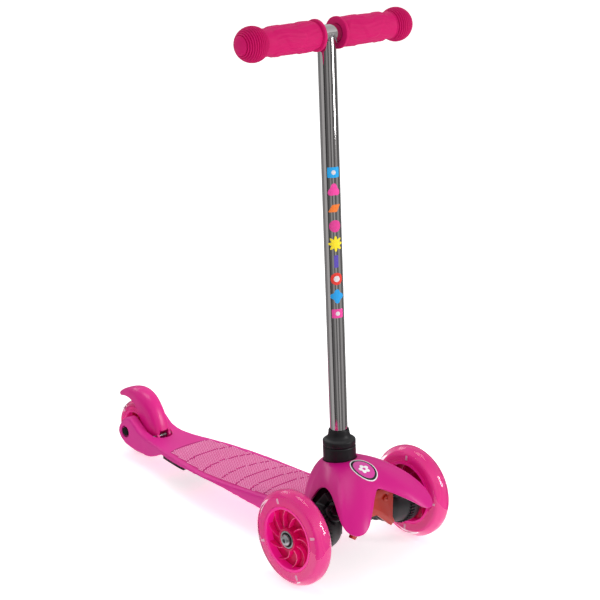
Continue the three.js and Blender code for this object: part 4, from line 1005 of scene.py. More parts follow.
# Lowest and highest corner of the horn for the spring and of the arm for the link
HORN = ((-8, 14.5, 0), (2, 25.5, 37))
ARM = ((-5, 16, -40), (5, 28, -2))
DRUM_FINS = 44
FIN_ALONG = (13.8, 22)
FIN_RADII = (24, 33.2)
FIN_HALF = 0.8
# The kingpin's head and nut bear on flat spots at both ends of the drum
KNUCKLE_HALF_SPAN = 26.0
SPOT_FACE_RADIUS = 13.5
SPOT_FACE_END = 46.0
KNUCKLE_VOXEL = 0.9


def cylinder(radius, low, high, steps=48):
    """A plain solid cylinder along X."""
    return turned([(0, low), (radius, low), (radius, high), (0, high)], steps, closed=False)


def make_fins(side):
    """Thin fins round the drum, ahead of its flange."""
    near, far = sorted(OUTWARD[side] * along for along in FIN_ALONG)
    foot, top = FIN_RADII
    fin = block((near, -FIN_HALF, foot), (far, FIN_HALF, top))
    fins = repeated(f"drum_fins_{side}", [fin], kingpin_frames[side], DRUM_FINS, 0.0, black_nylon)
    return finish_piece(fins, f"knuckle_{side}")


def make_knuckle(side):
    place = kingpin_frames[side] @ for_side(side)
    drum = turned(rounded(DRUM_PROFILE, DRUM_ROUND, closed=False, steps=3), DRUM_STEPS, closed=False)
    knuckle = build(f"knuckle_moulding_{side}", [drum, block(*HORN), block(*ARM)], place)
    spots = []
    for low, high in ((KNUCKLE_HALF_SPAN, SPOT_FACE_END), (-SPOT_FACE_END, -KNUCKLE_HALF_SPAN)):
        spot = moved(cylinder(SPOT_FACE_RADIUS, low, high), ABOUT_Z)
        spots.append(build("spot_face_tool", [spot], place))
    cut_away(knuckle, *spots)
    fuse(knuckle, KNUCKLE_VOXEL, smooth=3)
    node = f"knuckle_{side}"
    return finish_piece(knuckle, node, (node,), crease=60, material=black_nylon)


print("fins on both drums:", DRUM_FINS * len(OUTWARD))

# %% Axle bolts
BOLT_RADIUS = 4.0
BOLT_ROUND = 0.4
BOLT_STEPS = 32
HEAD_RADIUS = 7.0
HEAD_HEIGHT = 4.0
HEAD_ROUND = 0.9
# The head has a short neck that lies within the shaft
NECK_RADIUS = 3.9
NECK_LENGTH = 3.0
HEX_RADIUS = 2.9
HEX_DEPTH = 2.2
HEX_OVERRUN = 2.0


def bolt_head(face):
    """A domed head, its flat face at the given place along X."""
    top = face + HEAD_HEIGHT
    dome = [
        (0, face - NECK_LENGTH), (NECK_RADIUS, face - NECK_LENGTH), (NECK_RADIUS, face), (HEAD_RADIUS, face),
        (HEAD_RADIUS, face + HEAD_HEIGHT * 0.45), (HEAD_RADIUS * 0.72, top), (0, top),
    ]
    return turned(rounded(dome, HEAD_ROUND, closed=False, steps=4), 48, closed=False)


def axle_bolt(name, node, place, material):
    """A bolt along X with a hexagon socket in its head."""
    half = half_width(node)
    face = half - HEAD_HEIGHT
    outline = rounded(
        [(0, -half), (BOLT_RADIUS, -half), (BOLT_RADIUS, face), (0, face)], BOLT_ROUND, closed=False,
    )
    bolt = build(name, [bolt_head(face), turned(outline, BOLT_STEPS, closed=False)], place)
    hexagon = cylinder(HEX_RADIUS, half - HEX_DEPTH, half + HEX_OVERRUN, steps=6)
    cut_away(bolt, build("socket_tool", [hexagon], place))
    return finish_piece(bolt, node, (node,), material=material)


def make_front_bolt(side):
    """The front bolts lean with their knuckles."""
    node = f"axle_bolt_{side}"
    lean = kingpin_frames[side].to_3x3().normalized().to_4x4()
    place = Matrix.Translation(box_of(node)[2]) @ lean @ Matrix.Scale(MM, 4) @ for_side(side)
    return axle_bolt(f"axle_screw_{side}", node, place, zinc)


def make_rear_axle():
    place = Matrix.Translation(box_of("rear_axle_bolt")[2]) @ Matrix.Scale(MM, 4)
    axle_bolt("rear_axle_screw", "rear_axle_bolt", place, black_steel)
    return bevelled("rear_axle_nut", "rear_axle_lock_nut", black_steel, 0.5)


for side in OUTWARD:
    make_knuckle(side)
    make_fins(side)
    make_front_bolt(side)
make_rear_axle()
print("axle bolts:", len(OUTWARD) + 1)

# %% [markdown]
# ## Springs
#
# A coil spring is a wire along a spiral. Geometry Nodes has a spiral curve and can sweep a circle
# along it, so each spring is one small tree with its length, radius, turns and wire as inputs. The
# middle and the length come from the imported spring's box. A centring spring stands between the frame
# and a knuckle; it is set down where it stands and rides with neither of them.

# %% Coil springs
def spring_tree():
    """A round wire swept along a spiral that stands on its start point."""
    tree, given, wanted = new_tree("coil_spring", {
        "Length": ("NodeSocketFloat", 0.01),
        "Radius": ("NodeSocketFloat", 0.005),
        "Turns": ("NodeSocketFloat", 5.0),
        "Wire": ("NodeSocketFloat", 0.0008),
        "Material": ("NodeSocketMaterial", None),
    })
    spiral = add(tree, "GeometryNodeCurveSpiral", {
        "Resolution": 28, "Rotations": given["Turns"], "Start Radius": given["Radius"],
        "End Radius": given["Radius"], "Height": given["Length"],
    })
    section = add(tree, "GeometryNodeCurvePrimitiveCircle", {"Resolution": 10, "Radius": given["Wire"]})
    wire = add(tree, "GeometryNodeCurveToMesh", {
        "Curve": spiral.outputs[0], "Profile Curve": section.outputs[0], "Fill Caps": True,
    })
    end_tree(tree, wire.outputs["Mesh"], given["Material"], wanted)
    return tree


coil = spring_tree()
SPRING_TURNS = 5.0
# Radius of the coil and of its wire
CENTRING_SPRING = (5.2, 0.8)
BRAKE_SPRING = (4.0, 0.7)
# The centring coils are rolled about their length as the kingpins lean
ROLLED = Matrix.Rotation(math.radians(40), 4, "X")


def wind_spring(node, reach, wire, roll):
    """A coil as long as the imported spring, along X about its middle."""
    low, high, middle = box_of(node)
    length = high.x - low.x
    obj = build(f"{node}_wire", [([(0, 0, 0)], [])], Matrix.Identity(4), outward=False)
    run_tree(obj, coil, {
        "Length": length - 2 * wire * MM, "Radius": reach * MM, "Turns": SPRING_TURNS, "Wire": wire * MM,
        "Material": spring_wire,
    })
    start = Matrix.Translation(middle - Vector((length / 2 - wire * MM, 0, 0)))
    obj.data.transform(start @ roll @ Matrix.Rotation(math.pi / 2, 4, "Y"))
    return obj


def make_centring_spring(side):
    """A coil set down between the frame and the knuckle, where it stands."""
    node = f"centring_spring_{side}"
    low, high, middle = box_of(node)
    obj = wind_spring(node, *CENTRING_SPRING, ROLLED)
    start, end = [(x, middle.y, middle.z) for x in sorted((low.x, high.x), key=abs)]
    stretched = ("frame", f"steering_{side}", start, end)
    return finish_piece(obj, node, (node,), stretched=stretched)


for side in OUTWARD:
    make_centring_spring(side)
brake_coil = wind_spring("brake_spring", *BRAKE_SPRING, Matrix.Identity(4))
finish_piece(brake_coil, "brake_spring", ("brake_spring",))
print("springs wound:", len(OUTWARD) + 1)

# %% [markdown]
# ## Screws
#
# The small screws have pan heads with a cross recess. One screw is drawn, and a tree sets a copy on
# every point, each with its own turn, which is how a designer would place a bought fastener.

# %% Pan head screws
# How far each kind is turned about X from looking straight up
SCREWS = {"plate_screw": math.pi / 2, "foot_screw": 0.0, "brace_screw": math.pi}
SCREW_HEAD = 4.2
SCREW_BODY = 2.2
SCREW_LENGTH = 5.5
SCREW_RISE = 2.4
SCREW_ROUND = 0.5
CROSS_HALF = 2.2
CROSS_SLOT = 0.5
CROSS_DEPTH = 1.2
CROSS_OVERRUN = 1.0


def one_screw():
    """A pan head with a cross recess, standing on its point, with the head's underside at zero."""
    profile = [
        (0, -SCREW_LENGTH), (SCREW_BODY, -SCREW_LENGTH), (SCREW_BODY, 0), (SCREW_HEAD, 0),
        (SCREW_HEAD, SCREW_RISE * 0.4), (SCREW_HEAD * 0.6, SCREW_RISE), (0, SCREW_RISE),
    ]
    body = turned(rounded(profile, SCREW_ROUND, closed=False, steps=3), 32, closed=False)
    screw = build("screw_pattern", [moved(body, ABOUT_Z)], Matrix.Scale(MM, 4))
    floor, top = SCREW_RISE - CROSS_DEPTH, SCREW_RISE + CROSS_OVERRUN
    tools = []
    for x, y in ((CROSS_HALF, CROSS_SLOT), (CROSS_SLOT, CROSS_HALF)):
        tools.append(build("cross_tool", [block((-x, -y, floor), (x, y, top))], Matrix.Scale(MM, 4)))
    return cut_away(screw, *tools)


def screw_place(node, turn):
    """The point under the screw's head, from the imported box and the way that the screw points."""
    low, high, middle = box_of(node)
    up = Matrix.Rotation(turn, 3, "X") @ Vector((0, 0, 1))
    length = max(high.y - low.y, high.z - low.z)
    return middle + up * (length / 2 - SCREW_RISE * MM)


def screw_tree(pattern):
    """Copies of the pattern on the object's points, each turned as its point says."""
    tree, given, wanted = new_tree("screws_on_points", {"Material": ("NodeSocketMaterial", None)})
    source = add(tree, "GeometryNodeObjectInfo", {"Object": pattern})
    turn = add(tree, "GeometryNodeInputNamedAttribute", {"Name": "turn"}, data_type="FLOAT_VECTOR")
    rotation = add(tree, "FunctionNodeEulerToRotation", {0: turn.outputs[0]})
    copies = add(tree, "GeometryNodeInstanceOnPoints", {
        "Points": given["Geometry"], "Instance": source.outputs["Geometry"], "Rotation": rotation.outputs[0],
    })
    end_tree(tree, copies.outputs["Instances"], given["Material"], wanted)
    return tree


def set_screws(kinds, name, material):
    """Every screw of these kinds as one piece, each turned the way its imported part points."""
    pattern = one_screw()
    names = [(f"{kind}_{side}", SCREWS[kind]) for kind in kinds for side in OUTWARD]
    spots = [tuple(screw_place(node, turn)) for node, turn in names]
    screws = build(name, [(spots, [])], Matrix.Identity(4), outward=False)
    turns = screws.data.attributes.new("turn", "FLOAT_VECTOR", "POINT")
    for spot, (_, turn) in zip(turns.data, names):
        spot.vector = (turn, 0, 0)
    run_tree(screws, screw_tree(pattern), {"Material": material})
    bpy.data.objects.remove(pattern)
    return finish_piece(screws, names[0][0], [node for node, _ in names])


# The screws of the orange plate are painted to match it
set_screws(("foot_screw", "brace_screw"), "black_pan_head_screws", black_steel)
set_screws(("plate_screw",), "painted_pan_head_screws", orange_abs)
print("screws set:", 2 * len(SCREWS))

# %% [markdown]
# ## Handlebar
#
# The stem is a chromed tube with a welded crossbar. The weld is modelled as a thin bead that follows
# the line where the two tubes meet, because that small uneven ring is the first thing an eye looks
# for on a T joint.

# %% Stem, crossbar and weld
STEM_RADIUS = 11.0
TUBE_WALL = 1.5
TUBE_ROUND = 0.3
# The stem ends inside the crossbar, this far short of its middle
STEM_SHORT = 2.0


def along_stem(node):
    """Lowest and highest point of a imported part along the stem, in millimetres."""
    flat = stem_frame.inverted()
    heights = [(flat @ v.co).z for v in nodes[node].data.vertices]
    return min(heights), max(heights)


bar_low, bar_high = along_stem("crossbar")
bar_height = (bar_low + bar_high) / 2
on_bar = Matrix.Translation((0, 0, bar_height))


def tube(start, end):
    """A length of the handlebar's tube along X."""
    inner = STEM_RADIUS - TUBE_WALL
    corners = [(inner, start), (STEM_RADIUS, start), (STEM_RADIUS, end), (inner, end)]
    return turned(rounded(corners, TUBE_ROUND, steps=2), LATHE_STEPS)


def make_stem():
    column = tube(along_stem("stem_tube")[0], bar_height - STEM_SHORT)
    stem = build("chrome_stem", [moved(column, ABOUT_Z)], stem_frame, chrome)
    finish_piece(stem, "stem_tube", ("stem_tube",))
    half = half_width("crossbar")
    crossbar = build("chrome_crossbar", [moved(tube(-half, half), on_bar)], stem_frame, chrome)
    return finish_piece(crossbar, "crossbar", ("crossbar",))


WELD_BEAD = 1.5
WELD_STEPS = 120
BEAD_STEPS = 10
# The bead swells and thins as many times as the torch was moved on, by this share
WELD_WAVES = 26
WELD_UNEVEN = 0.12
WELD_SINK = 0.2


def make_weld():
    rings = []
    for i in range(WELD_STEPS):
        turn = 2 * math.pi * i / WELD_STEPS
        bead = WELD_BEAD * (1 + WELD_UNEVEN * math.sin(WELD_WAVES * turn))
        out = Vector((math.cos(turn), math.sin(turn), 0))
        middle = out * STEM_RADIUS
        middle.z = bar_height - STEM_RADIUS * abs(math.cos(turn)) - WELD_SINK
        ring = []
        for k in range(BEAD_STEPS):
            part = 2 * math.pi * k / BEAD_STEPS
            ring.append(tuple(middle + out * bead * math.cos(part) + Vector((0, 0, bead * math.sin(part)))))
        rings.append(ring)
    points = [point for ring in rings for point in ring]
    weld = build("weld_bead", [(points, ring_faces(WELD_STEPS, BEAD_STEPS, True))], stem_frame, zinc)
    return finish_piece(weld, "stem_tube")


make_stem()
make_weld()
print("crossbar at", round(bar_height), "mm up the stem")

# %% [markdown]
# ## Grips
#
# Each grip is one rubber moulding: a flange, a palm that swells a little, and a ball end with rings
# cut into its inner half. The palm carries shallow wavy panels. A turned body with its radius written
# as a function of both the way along and the turn gives all of that as real shape.

# %% Grips
GRIP_STEPS = 120
GRIP_FLANGE = 4.0
GRIP_FLANGE_RADIUS = 19.0
GRIP_ROUND = 1.2
GRIP_NECK = 16.0
NECK_RISE = 1.0
GRIP_SWELL = 1.3
GRIP_BORE = STEM_RADIUS + 0.3
# The bore is closed this far past the tube's end
BORE_PAST_TUBE = 4.0
BALL_RADIUS = 20.7
BALL_STEPS = 150
BALL_RINGS = 13
# Where the rings start and how far they go, as an angle down the ball
RINGS_START = 0.88
RINGS_SPAN = 1.78
RING_DEPTH = 1.7
PALM_STEPS = 80
# Two raised panels and finer lines wind along the palm, each with its depth and its swing in radians
PANEL_DEPTH = 1.1
PANEL_SWING = 1.4
PALM_LINES = 19
LINE_DEPTH = 0.28
LINE_SWING = 2.2
PALM_WAVES = 1.5


def grip_span():
    """Inner face, outer end and the ball's middle along X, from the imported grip."""
    low, high, _ = box_of("grip_left")
    return low.x / MM, high.x / MM, high.x / MM - BALL_RADIUS


def smooth_step(value):
    """Eases from nought to one."""
    value = min(max(value, 0.0), 1.0)
    return value * value * (3 - 2 * value)


def palm_radius(share, turn):
    """The palm between flange and ball: a swell, a waist before the ball, and two wavy raised panels."""
    swell = GRIP_NECK + GRIP_SWELL * math.sin(math.pi * min(share * 1.15, 1.0)) ** 0.8
    edge = smooth_step(share / 0.08) * smooth_step((0.9 - share) / 0.08)
    way = 2 * math.pi * PALM_WAVES * share
    panel = smooth_step(math.sin(2 * turn + PANEL_SWING * math.sin(way)) + 0.5)
    lines = math.sin(PALM_LINES * turn + LINE_SWING * math.sin(way + turn))
    return swell + (PANEL_DEPTH * panel + LINE_DEPTH * lines) * edge


def ball_radius(turn_down):
    """Rings run round the inner half of the ball and fade towards its end."""
    share = (turn_down - RINGS_START) / RINGS_SPAN
    fade = smooth_step(share / 0.04) * smooth_step((1.0 - share) / 0.06)
    ripple = 0.5 - 0.5 * math.cos(2 * math.pi * BALL_RINGS * share)
    return BALL_RADIUS - RING_DEPTH * (1 - ripple) ** 2 * fade


def grip_rows():
    """(along, function giving the radius for a turn) from the flange out to the end of the ball."""
    inner, _, ball = grip_span()
    flange_end = inner + GRIP_FLANGE
    palm_start = flange_end + NECK_RISE
    corners = [
        (GRIP_BORE, inner), (GRIP_FLANGE_RADIUS, inner),
        (GRIP_FLANGE_RADIUS, flange_end), (GRIP_NECK, palm_start),
    ]
    rim = rounded(corners, GRIP_ROUND, closed=False)
    rows = [(along, lambda turn, r=radius: r) for radius, along in rim]
    start = math.asin(GRIP_NECK / BALL_RADIUS)
    palm_end = ball - BALL_RADIUS * math.cos(start)
    for i in range(1, PALM_STEPS):
        share = i / PALM_STEPS
        rows.append((mixed(palm_start, palm_end, share), lambda turn, s=share: palm_radius(s, turn)))
    for i in range(BALL_STEPS + 1):
        down = start + (math.pi - start) * i / BALL_STEPS
        radius = ball_radius(down)
        rows.append((ball - radius * math.cos(down), lambda turn, r=radius, d=down: r * math.sin(d)))
    return rows


def make_grip(side):
    rows = grip_rows()
    points = []
    for along, radius_at in rows:
        for k in range(GRIP_STEPS):
            turn = 2 * math.pi * k / GRIP_STEPS
            radius = radius_at(turn)
            points.append((along, -radius * math.sin(turn), radius * math.cos(turn)))
    skin = (points, ring_faces(len(rows), GRIP_STEPS, False))
    end = half_width("crossbar") + BORE_PAST_TUBE
    bore_wall = turned([(GRIP_BORE, rows[0][0]), (GRIP_BORE, end), (0, end)], GRIP_STEPS, closed=False)
    place = stem_frame @ on_bar @ for_side(side)
    grip = build(f"rubber_grip_{side}", [skin, bore_wall], place, grip_pink)
    node = f"grip_{side}"
    return finish_piece(grip, node, (node,), crease=60)


for side in OUTWARD:
    make_grip(side)
print("grips span", [round(x, 1) for x in grip_span()])

# %% [markdown]
# ## Collar
#
# The black collar clamps the stem: a plain socket below, and above it a nut with a narrow rim and a
# hollow slope up to the tube. Both are turned, with the fine groove between them that every such pair
# shows.

# %% Socket and nut
SOCKET_RADIUS = 20.5
COLLAR_BORE = STEM_RADIUS + 0.4
# The socket's thread stands in the nut, and its foot in the head frame
THREAD_RADIUS = 15.6
FOOT_RADIUS = 17.0
SOCKET_ROUND = 0.5


def stand(name, corners, radius, steps):
    """A black ring turned about the stem from a section with rounded corners."""
    body = turned(rounded(corners, radius, steps=steps), LATHE_STEPS)
    return build(name, [moved(body, ABOUT_Z)], stem_frame, black_nylon)


def make_socket():
    low, high = along_stem("head_socket")
    top = along_stem("collar_nut")[0]
    corners = [
        (COLLAR_BORE, low + 3), (COLLAR_BORE, high), (THREAD_RADIUS, high), (THREAD_RADIUS, top),
        (SOCKET_RADIUS - 0.6, top - 0.3), (SOCKET_RADIUS, top - 1.5), (SOCKET_RADIUS, 3),
        (FOOT_RADIUS, 2), (FOOT_RADIUS, low), (COLLAR_BORE, low),
    ]
    socket = stand("collar_socket", corners, SOCKET_ROUND, steps=3)
    return finish_piece(socket, "head_socket", ("head_socket",))


NUT_RIM = 8.0
NUT_NECK = 12.8
NUT_BORE = 16.0
NUT_ROUND = 1.6
# The slope from rim to neck: shares of the nut's overhang and of its height above the rim
NUT_SLOPE_SHARES = [(0.42, 0.14), (0.12, 0.4)]


def make_nut():
    low, high = along_stem("collar_nut")
    rim = low + NUT_RIM
    slope = [(mixed(NUT_NECK, SOCKET_RADIUS, x), mixed(rim, high, z)) for x, z in NUT_SLOPE_SHARES]
    corners = [
        (NUT_BORE, low), (SOCKET_RADIUS - 0.8, low), (SOCKET_RADIUS, low + 1.4), (SOCKET_RADIUS, rim - 1.2),
        (SOCKET_RADIUS - 1.2, rim), *slope, (NUT_NECK, high - 0.5), (NUT_NECK - 0.4, high),
        (COLLAR_BORE, high), (COLLAR_BORE, low + 9), (NUT_BORE, low + 6),
    ]
    nut = stand("collar_clamp_nut", corners, NUT_ROUND, steps=5)
    return finish_piece(nut, "collar_nut", ("collar_nut",), crease=60)


make_socket()
make_nut()
print("socket and nut stand", round(along_stem("collar_nut")[1]), "mm up the stem")

# %% [markdown]
# ## Front cover
#
# The cover is the scooter's face: one thin shell that falls from the collar in smooth curves to a wavy
# hem, with two lobes over the wheels and arches between them. Every line down the shell is a cubic
# curve from the collar ring to a point of the hem, and the hem is a closed smooth curve through a few
# points. Drawn finely and given its wall, it needs no more than that.

# %% Hem of the cover
COVER_HALF_WIDTH = 74.0
COVER_REACH = 74.0
COVER_REAR_REACH = 76.0
COVER_TOP = 125.5
COVER_OVER_DECK = 0.8
# A point (y, z) of the stem's middle line, and how far that line leans back
STEM_FOOT = (26.5, 100.0)
STEM_RAKE = math.radians(3.32)
# Where the deck starts behind the front axle, its length, half of its width and the height of its front
DECK_FRONT = 40.0
DECK_LENGTH = 362.0
DECK_HALF = 53.7
DECK_HEIGHT = 60.0

# Shares of the half width, of the forward reach (rearward: of the rear reach) and of the cover's height
HEM_SHARES = [
    (0.0, -0.555, 0.853), (0.17, -0.65, 0.809), (0.34, -0.785, 0.749), (0.487, -0.892, 0.693),
    (0.622, -0.973, 0.637), (0.757, -1.0, 0.602), (0.878, -0.96, 0.598), (0.966, -0.851, 0.629),
    (0.986, -0.73, 0.685), (0.932, -0.568, 0.757), (0.838, -0.378, 0.825), (0.757, -0.189, 0.873),
    (0.716, -0.027, 0.884), (0.703, 0.118, 0.845), (0.703, 0.263, 0.733), (0.682, 0.395, 0.614),
    (0.635, 0.5, 0.518), (0.568, 0.605, 0.47),
]
HEM_FOOT_SHARES = [(0.46, 0.737), (0.324, 0.855), (0.162, 0.934), (0.0, 0.96)]

# Deck stations: share along the deck, then shares of the half width and of the front height (top, low edge)
DECK_SHARES = [
    (0.0, 0.55, 1.0, 0.9), (0.04, 0.64, 1.0, 0.88), (0.083, 0.75, 0.99, 0.66), (0.138, 0.857, 0.963, 0.625),
    (0.221, 0.918, 0.927, 0.617), (0.304, 0.946, 0.887, 0.647), (0.387, 0.974, 0.85, 0.692),
    (0.47, 1.0, 0.812, 0.728), (0.552, 0.993, 0.783, 0.717), (0.635, 0.942, 0.77, 0.692),
    (0.718, 0.87, 0.758, 0.653), (0.787, 0.788, 0.742, 0.625), (0.843, 0.719, 0.728, 0.61),
    (0.898, 0.642, 0.722, 0.45), (0.953, 0.587, 0.73, 0.325), (1.0, 0.559, 0.75, 0.303),
]


def eased(table, share, column):
    """A smooth curve through one column of a table, by its share."""
    last = len(table) - 1
    i = max(k for k in range(last) if k == 0 or table[k][0] <= share)
    span = table[i + 1][0] - table[i][0]

    def slope(k):
        a, b = table[max(k - 1, 0)], table[min(k + 1, last)]
        return (b[column] - a[column]) / (b[0] - a[0])

    s = min(max((share - table[i][0]) / span, 0.0), 1.0)
    start, end = table[i][column], table[i + 1][column]
    rise_in, rise_out = slope(i) * span, slope(i + 1) * span
    return (
        start * (2 * s**3 - 3 * s**2 + 1) + end * (3 * s**2 - 2 * s**3)
        + rise_in * (s**3 - 2 * s**2 + s) + rise_out * (s**3 - s**2)
    )


def deck_share(y, column):
    """One column of the deck's stations at this place along the scooter."""
    return eased(DECK_SHARES, (y - DECK_FRONT) / DECK_LENGTH, column)


def deck_half(y):
    return DECK_HALF * deck_share(y, 1)


def deck_top(y):
    return DECK_HEIGHT * deck_share(y, 2)


def deck_low(y):
    return DECK_HEIGHT * deck_share(y, 3)


def hem_points():
    """The hem from the middle of the front arch down the right side to the deck, then back up the left."""
    right = [
        Vector((COVER_HALF_WIDTH * x, (COVER_REACH if y < 0 else COVER_REAR_REACH) * y, COVER_TOP * z))
        for x, y, z in HEM_SHARES
    ]
    feet = [(COVER_HALF_WIDTH * x, COVER_REAR_REACH * y) for x, y in HEM_FOOT_SHARES]
    right += [Vector((x, y, deck_top(y) + COVER_OVER_DECK)) for x, y in feet]
    return right + [Vector((-p.x, p.y, p.z)) for p in reversed(right[1:-1])]


def closed_curve(points, share):
    """A smooth closed curve through the points, its knots spaced by the root of their distance."""
    count = len(points)
    at = share * count
    i = int(at) % count
    p0, p1, p2, p3 = (points[(i + k) % count] for k in (-1, 0, 1, 2))
    d0, d1, d2 = ((b - a).length ** 0.5 for a, b in ((p0, p1), (p1, p2), (p2, p3)))
    leave = ((p1 - p0) / d0 - (p2 - p0) / (d0 + d1) + (p2 - p1) / d1) * d1
    arrive = ((p2 - p1) / d1 - (p3 - p1) / (d1 + d2) + (p3 - p2) / d2) * d1
    s = at - int(at)
    return (
        p1 * (2 * s**3 - 3 * s**2 + 1) + p2 * (3 * s**2 - 2 * s**3)
        + leave * (s**3 - 2 * s**2 + s) + arrive * (s**3 - s**2)
    )


hem = hem_points()
print("points of the hem:", len(hem))

# %% Lines down the cover
COVER_WALL = 3.0
COVER_EDGE = 1.0
COVER_ROUND = 240
COVER_DOWN = 44
# The ring round the collar: its play, and how much lower its front stands than its middle
COLLAR_PLAY = 0.9
COLLAR_TILT = 3.0
# The two middle points of each line: shares of its span and of its fall, for the back and for the front
KNEE_SPAN_SHARES = (0.31, 0.38)
KNEE_FALL_SHARES = (0.06, 0.0)
BROW_SPAN_SHARES = (0.0, 0.16)
BROW_FALL_SHARES = (0.62, 0.43)


def cover_line(foot):
    """Four points of the cubic curve from the collar over the shoulder to a point of the hem."""
    collar_y = STEM_FOOT[0] + math.tan(STEM_RAKE) * (COVER_TOP - STEM_FOOT[1])
    ring = SOCKET_RADIUS + COLLAR_PLAY
    out = Vector((foot.x, foot.y - collar_y, 0))
    span = out.length - ring
    out.normalize()
    to_front = (1 - out.y) / 2
    start = Vector((0, collar_y, COVER_TOP - COLLAR_TILT * out.y)) + out * ring
    fall = start.z - foot.z
    knee = start + out * span * mixed(*KNEE_SPAN_SHARES, to_front)
    knee.z -= fall * mixed(*KNEE_FALL_SHARES, to_front)
    brow = foot - out * span * mixed(*BROW_SPAN_SHARES, to_front)
    brow.z += fall * mixed(*BROW_FALL_SHARES, to_front)
    return start, knee, brow, foot


def cubic(line, s):
    """The point this share of the way along a line of four points."""
    a, b, c, d = line
    return a * (1 - s) ** 3 + b * 3 * s * (1 - s) ** 2 + c * 3 * s * s * (1 - s) + d * s**3


def make_cover():
    lines = [cover_line(closed_curve(hem, i / COVER_ROUND)) for i in range(COVER_ROUND)]
    rings = [[cubic(line, k / COVER_DOWN) for line in lines] for k in range(COVER_DOWN + 1)]
    cover = build("front_cover_shell", [lofted(rings, capped=False)], ground, cover_pink, outward=False)
    face_out(cover)
    modify(cover, "SOLIDIFY", thickness=COVER_WALL * MM, offset=-1.0, use_even_offset=False)
    settle(cover)
    soften(cover, COVER_EDGE, segments=3, angle=50)
    return finish_piece(cover, "front_cover", ("front_cover",), crease=70)


cover = make_cover()
print("cover faces:", len(cover.data.polygons))

# %% [markdown]
# ## Badge
#
# The badge on the front slope is a printed film with a glossy skin. It keeps the colours and the
# size of such a badge, with a plain five petal flower of its own. Each layer is a flat outline that is
# laid on the cover: every point is dropped along the slope's own direction until it meets the shell.

# %% Badge layers
BADGE_HALF = 15.4
BADGE_LENGTH = 1.3
# Where its middle lies on the cover's front line, and a step along that line to find the slope
BADGE_ALONG = 0.39
SLOPE_STEP = 0.01
# Layers are dropped onto the cover from this height, and their feet reach this deep into it
BADGE_DROP = 20.0
BADGE_FOOT = 1.2
# A layer's edge stands this much lower than its face
BADGE_EDGE = 0.05
# Name, size as a share of the badge, height above the cover in millimetres, and ink
BADGE_LAYERS = [
    ("white_rim", 1.0, 0.55, "#f4f2f4"),
    ("dark_line", 0.93, 0.62, "#08060a"),
    ("pink_field", 0.78, 0.7, "#d8359f"),
]
PETALS = 5
PETAL_NOTCH = 0.38
FLOWER_RADIUS, EYE_RADIUS = 7.4, 2.4
FLOWER_PROUD, EYE_PROUD = 0.8, 0.88


def film(name, colour):
    """Printed vinyl: a flat ink under a glossy skin."""
    return moulded(name, colour, colour, (0.18, 0.24), 3.0, 0.003, Coat_Weight=0.4, Coat_Roughness=0.05)


def badge_frame():
    """The badge's middle, and its ways across, up the slope and out of it."""
    line = cover_line(hem[0])
    here, ahead = cubic(line, BADGE_ALONG), cubic(line, BADGE_ALONG + SLOPE_STEP)
    up = (here - ahead).normalized()
    across = Vector((1, 0, 0))
    out = across.cross(up).normalized()
    if out.z < 0:
        out = -out
    return here, across, up, out


cover_shell = BVHTree.FromObject(cover, bpy.context.evaluated_depsgraph_get())


def laid_on_cover(name, outline, proud, colour, rings=8):
    """A thin solid whose top follows the cover, from a star shaped outline about its middle."""
    here, across, up, out = badge_frame()
    into = -(ground.to_3x3() @ out).normalized()
    rows = []
    for r in range(rings + 1):
        share = 1 - r / rings
        height = proud if r else proud - BADGE_EDGE
        rows.append([])
        for x, y in outline:
            start = ground @ (here + across * x * share + up * y * share + out * BADGE_DROP)
            hit, normal, _, _ = cover_shell.ray_cast(start, into)
            rows[-1].append(hit + normal * height * MM)
    foot = [point + into * BADGE_FOOT * MM for point in rows[0]]
    shape = lofted([foot, *rows], capped=False)
    obj = build(name, [shape], Matrix.Identity(4), film(f"{name}_film", colour))
    return finish_piece(obj, "front_badge", crease=50)


def oval(scale, steps=96):
    wide, tall = BADGE_HALF * scale, BADGE_HALF * BADGE_LENGTH * scale
    turns = [2 * math.pi * k / steps for k in range(steps)]
    return [(wide * math.cos(t), tall * math.sin(t)) for t in turns]


def flower(radius, steps=120):
    """Round petals with soft notches between them, the first one straight up."""
    points = []
    for k in range(steps):
        turn = 2 * math.pi * k / steps
        reach = radius * (1 - PETAL_NOTCH + PETAL_NOTCH * abs(math.cos(PETALS * turn / 2)))
        points.append((reach * math.sin(turn), reach * math.cos(turn)))
    return points


def make_badge():
    for i, (name, scale, proud, colour) in enumerate(BADGE_LAYERS):
        layer = laid_on_cover(f"badge_{name}", oval(scale), proud, colour)
        if i == 0:
            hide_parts("front_badge")
    laid_on_cover("badge_flower", flower(FLOWER_RADIUS), FLOWER_PROUD, "#f7f3f6")
    laid_on_cover("badge_flower_eye", flower(EYE_RADIUS), EYE_PROUD, "#d8359f", rings=3)


make_badge()
print("badge layers:", len(BADGE_LAYERS) + 2)

# %% [markdown]
# ## Deck
#
# The deck is one moulding: a hollow tray with a rounded rim, cross ribs under it, and two ears that
# hold the rear wheel. The tray is a smooth sheet across the stations of the deck, given a wall. The
# wheel slot and the pocket for the fender's foot are cut first, then tray, ribs and ears are melted
# into one body, which rounds every corner a little, as a mould does.

# %% Deck body
# The rear axle (y, z) and the radius of the rear wheel, which the ears and the fender are drawn by
REAR_AXLE = (440.0, 40.0)
REAR_RADIUS = 40.0
DECK_WALL = 4.4
DECK_RIM = 3.5
DECK_DRAFT = 0.6
DECK_STATIONS = 90
# Walls that would end in one plane overlap by this much
HAIR = 0.01
SLOT_HALF = 15.6
EAR_THICKNESS = 14.4
EAR_ROUND = 3.0
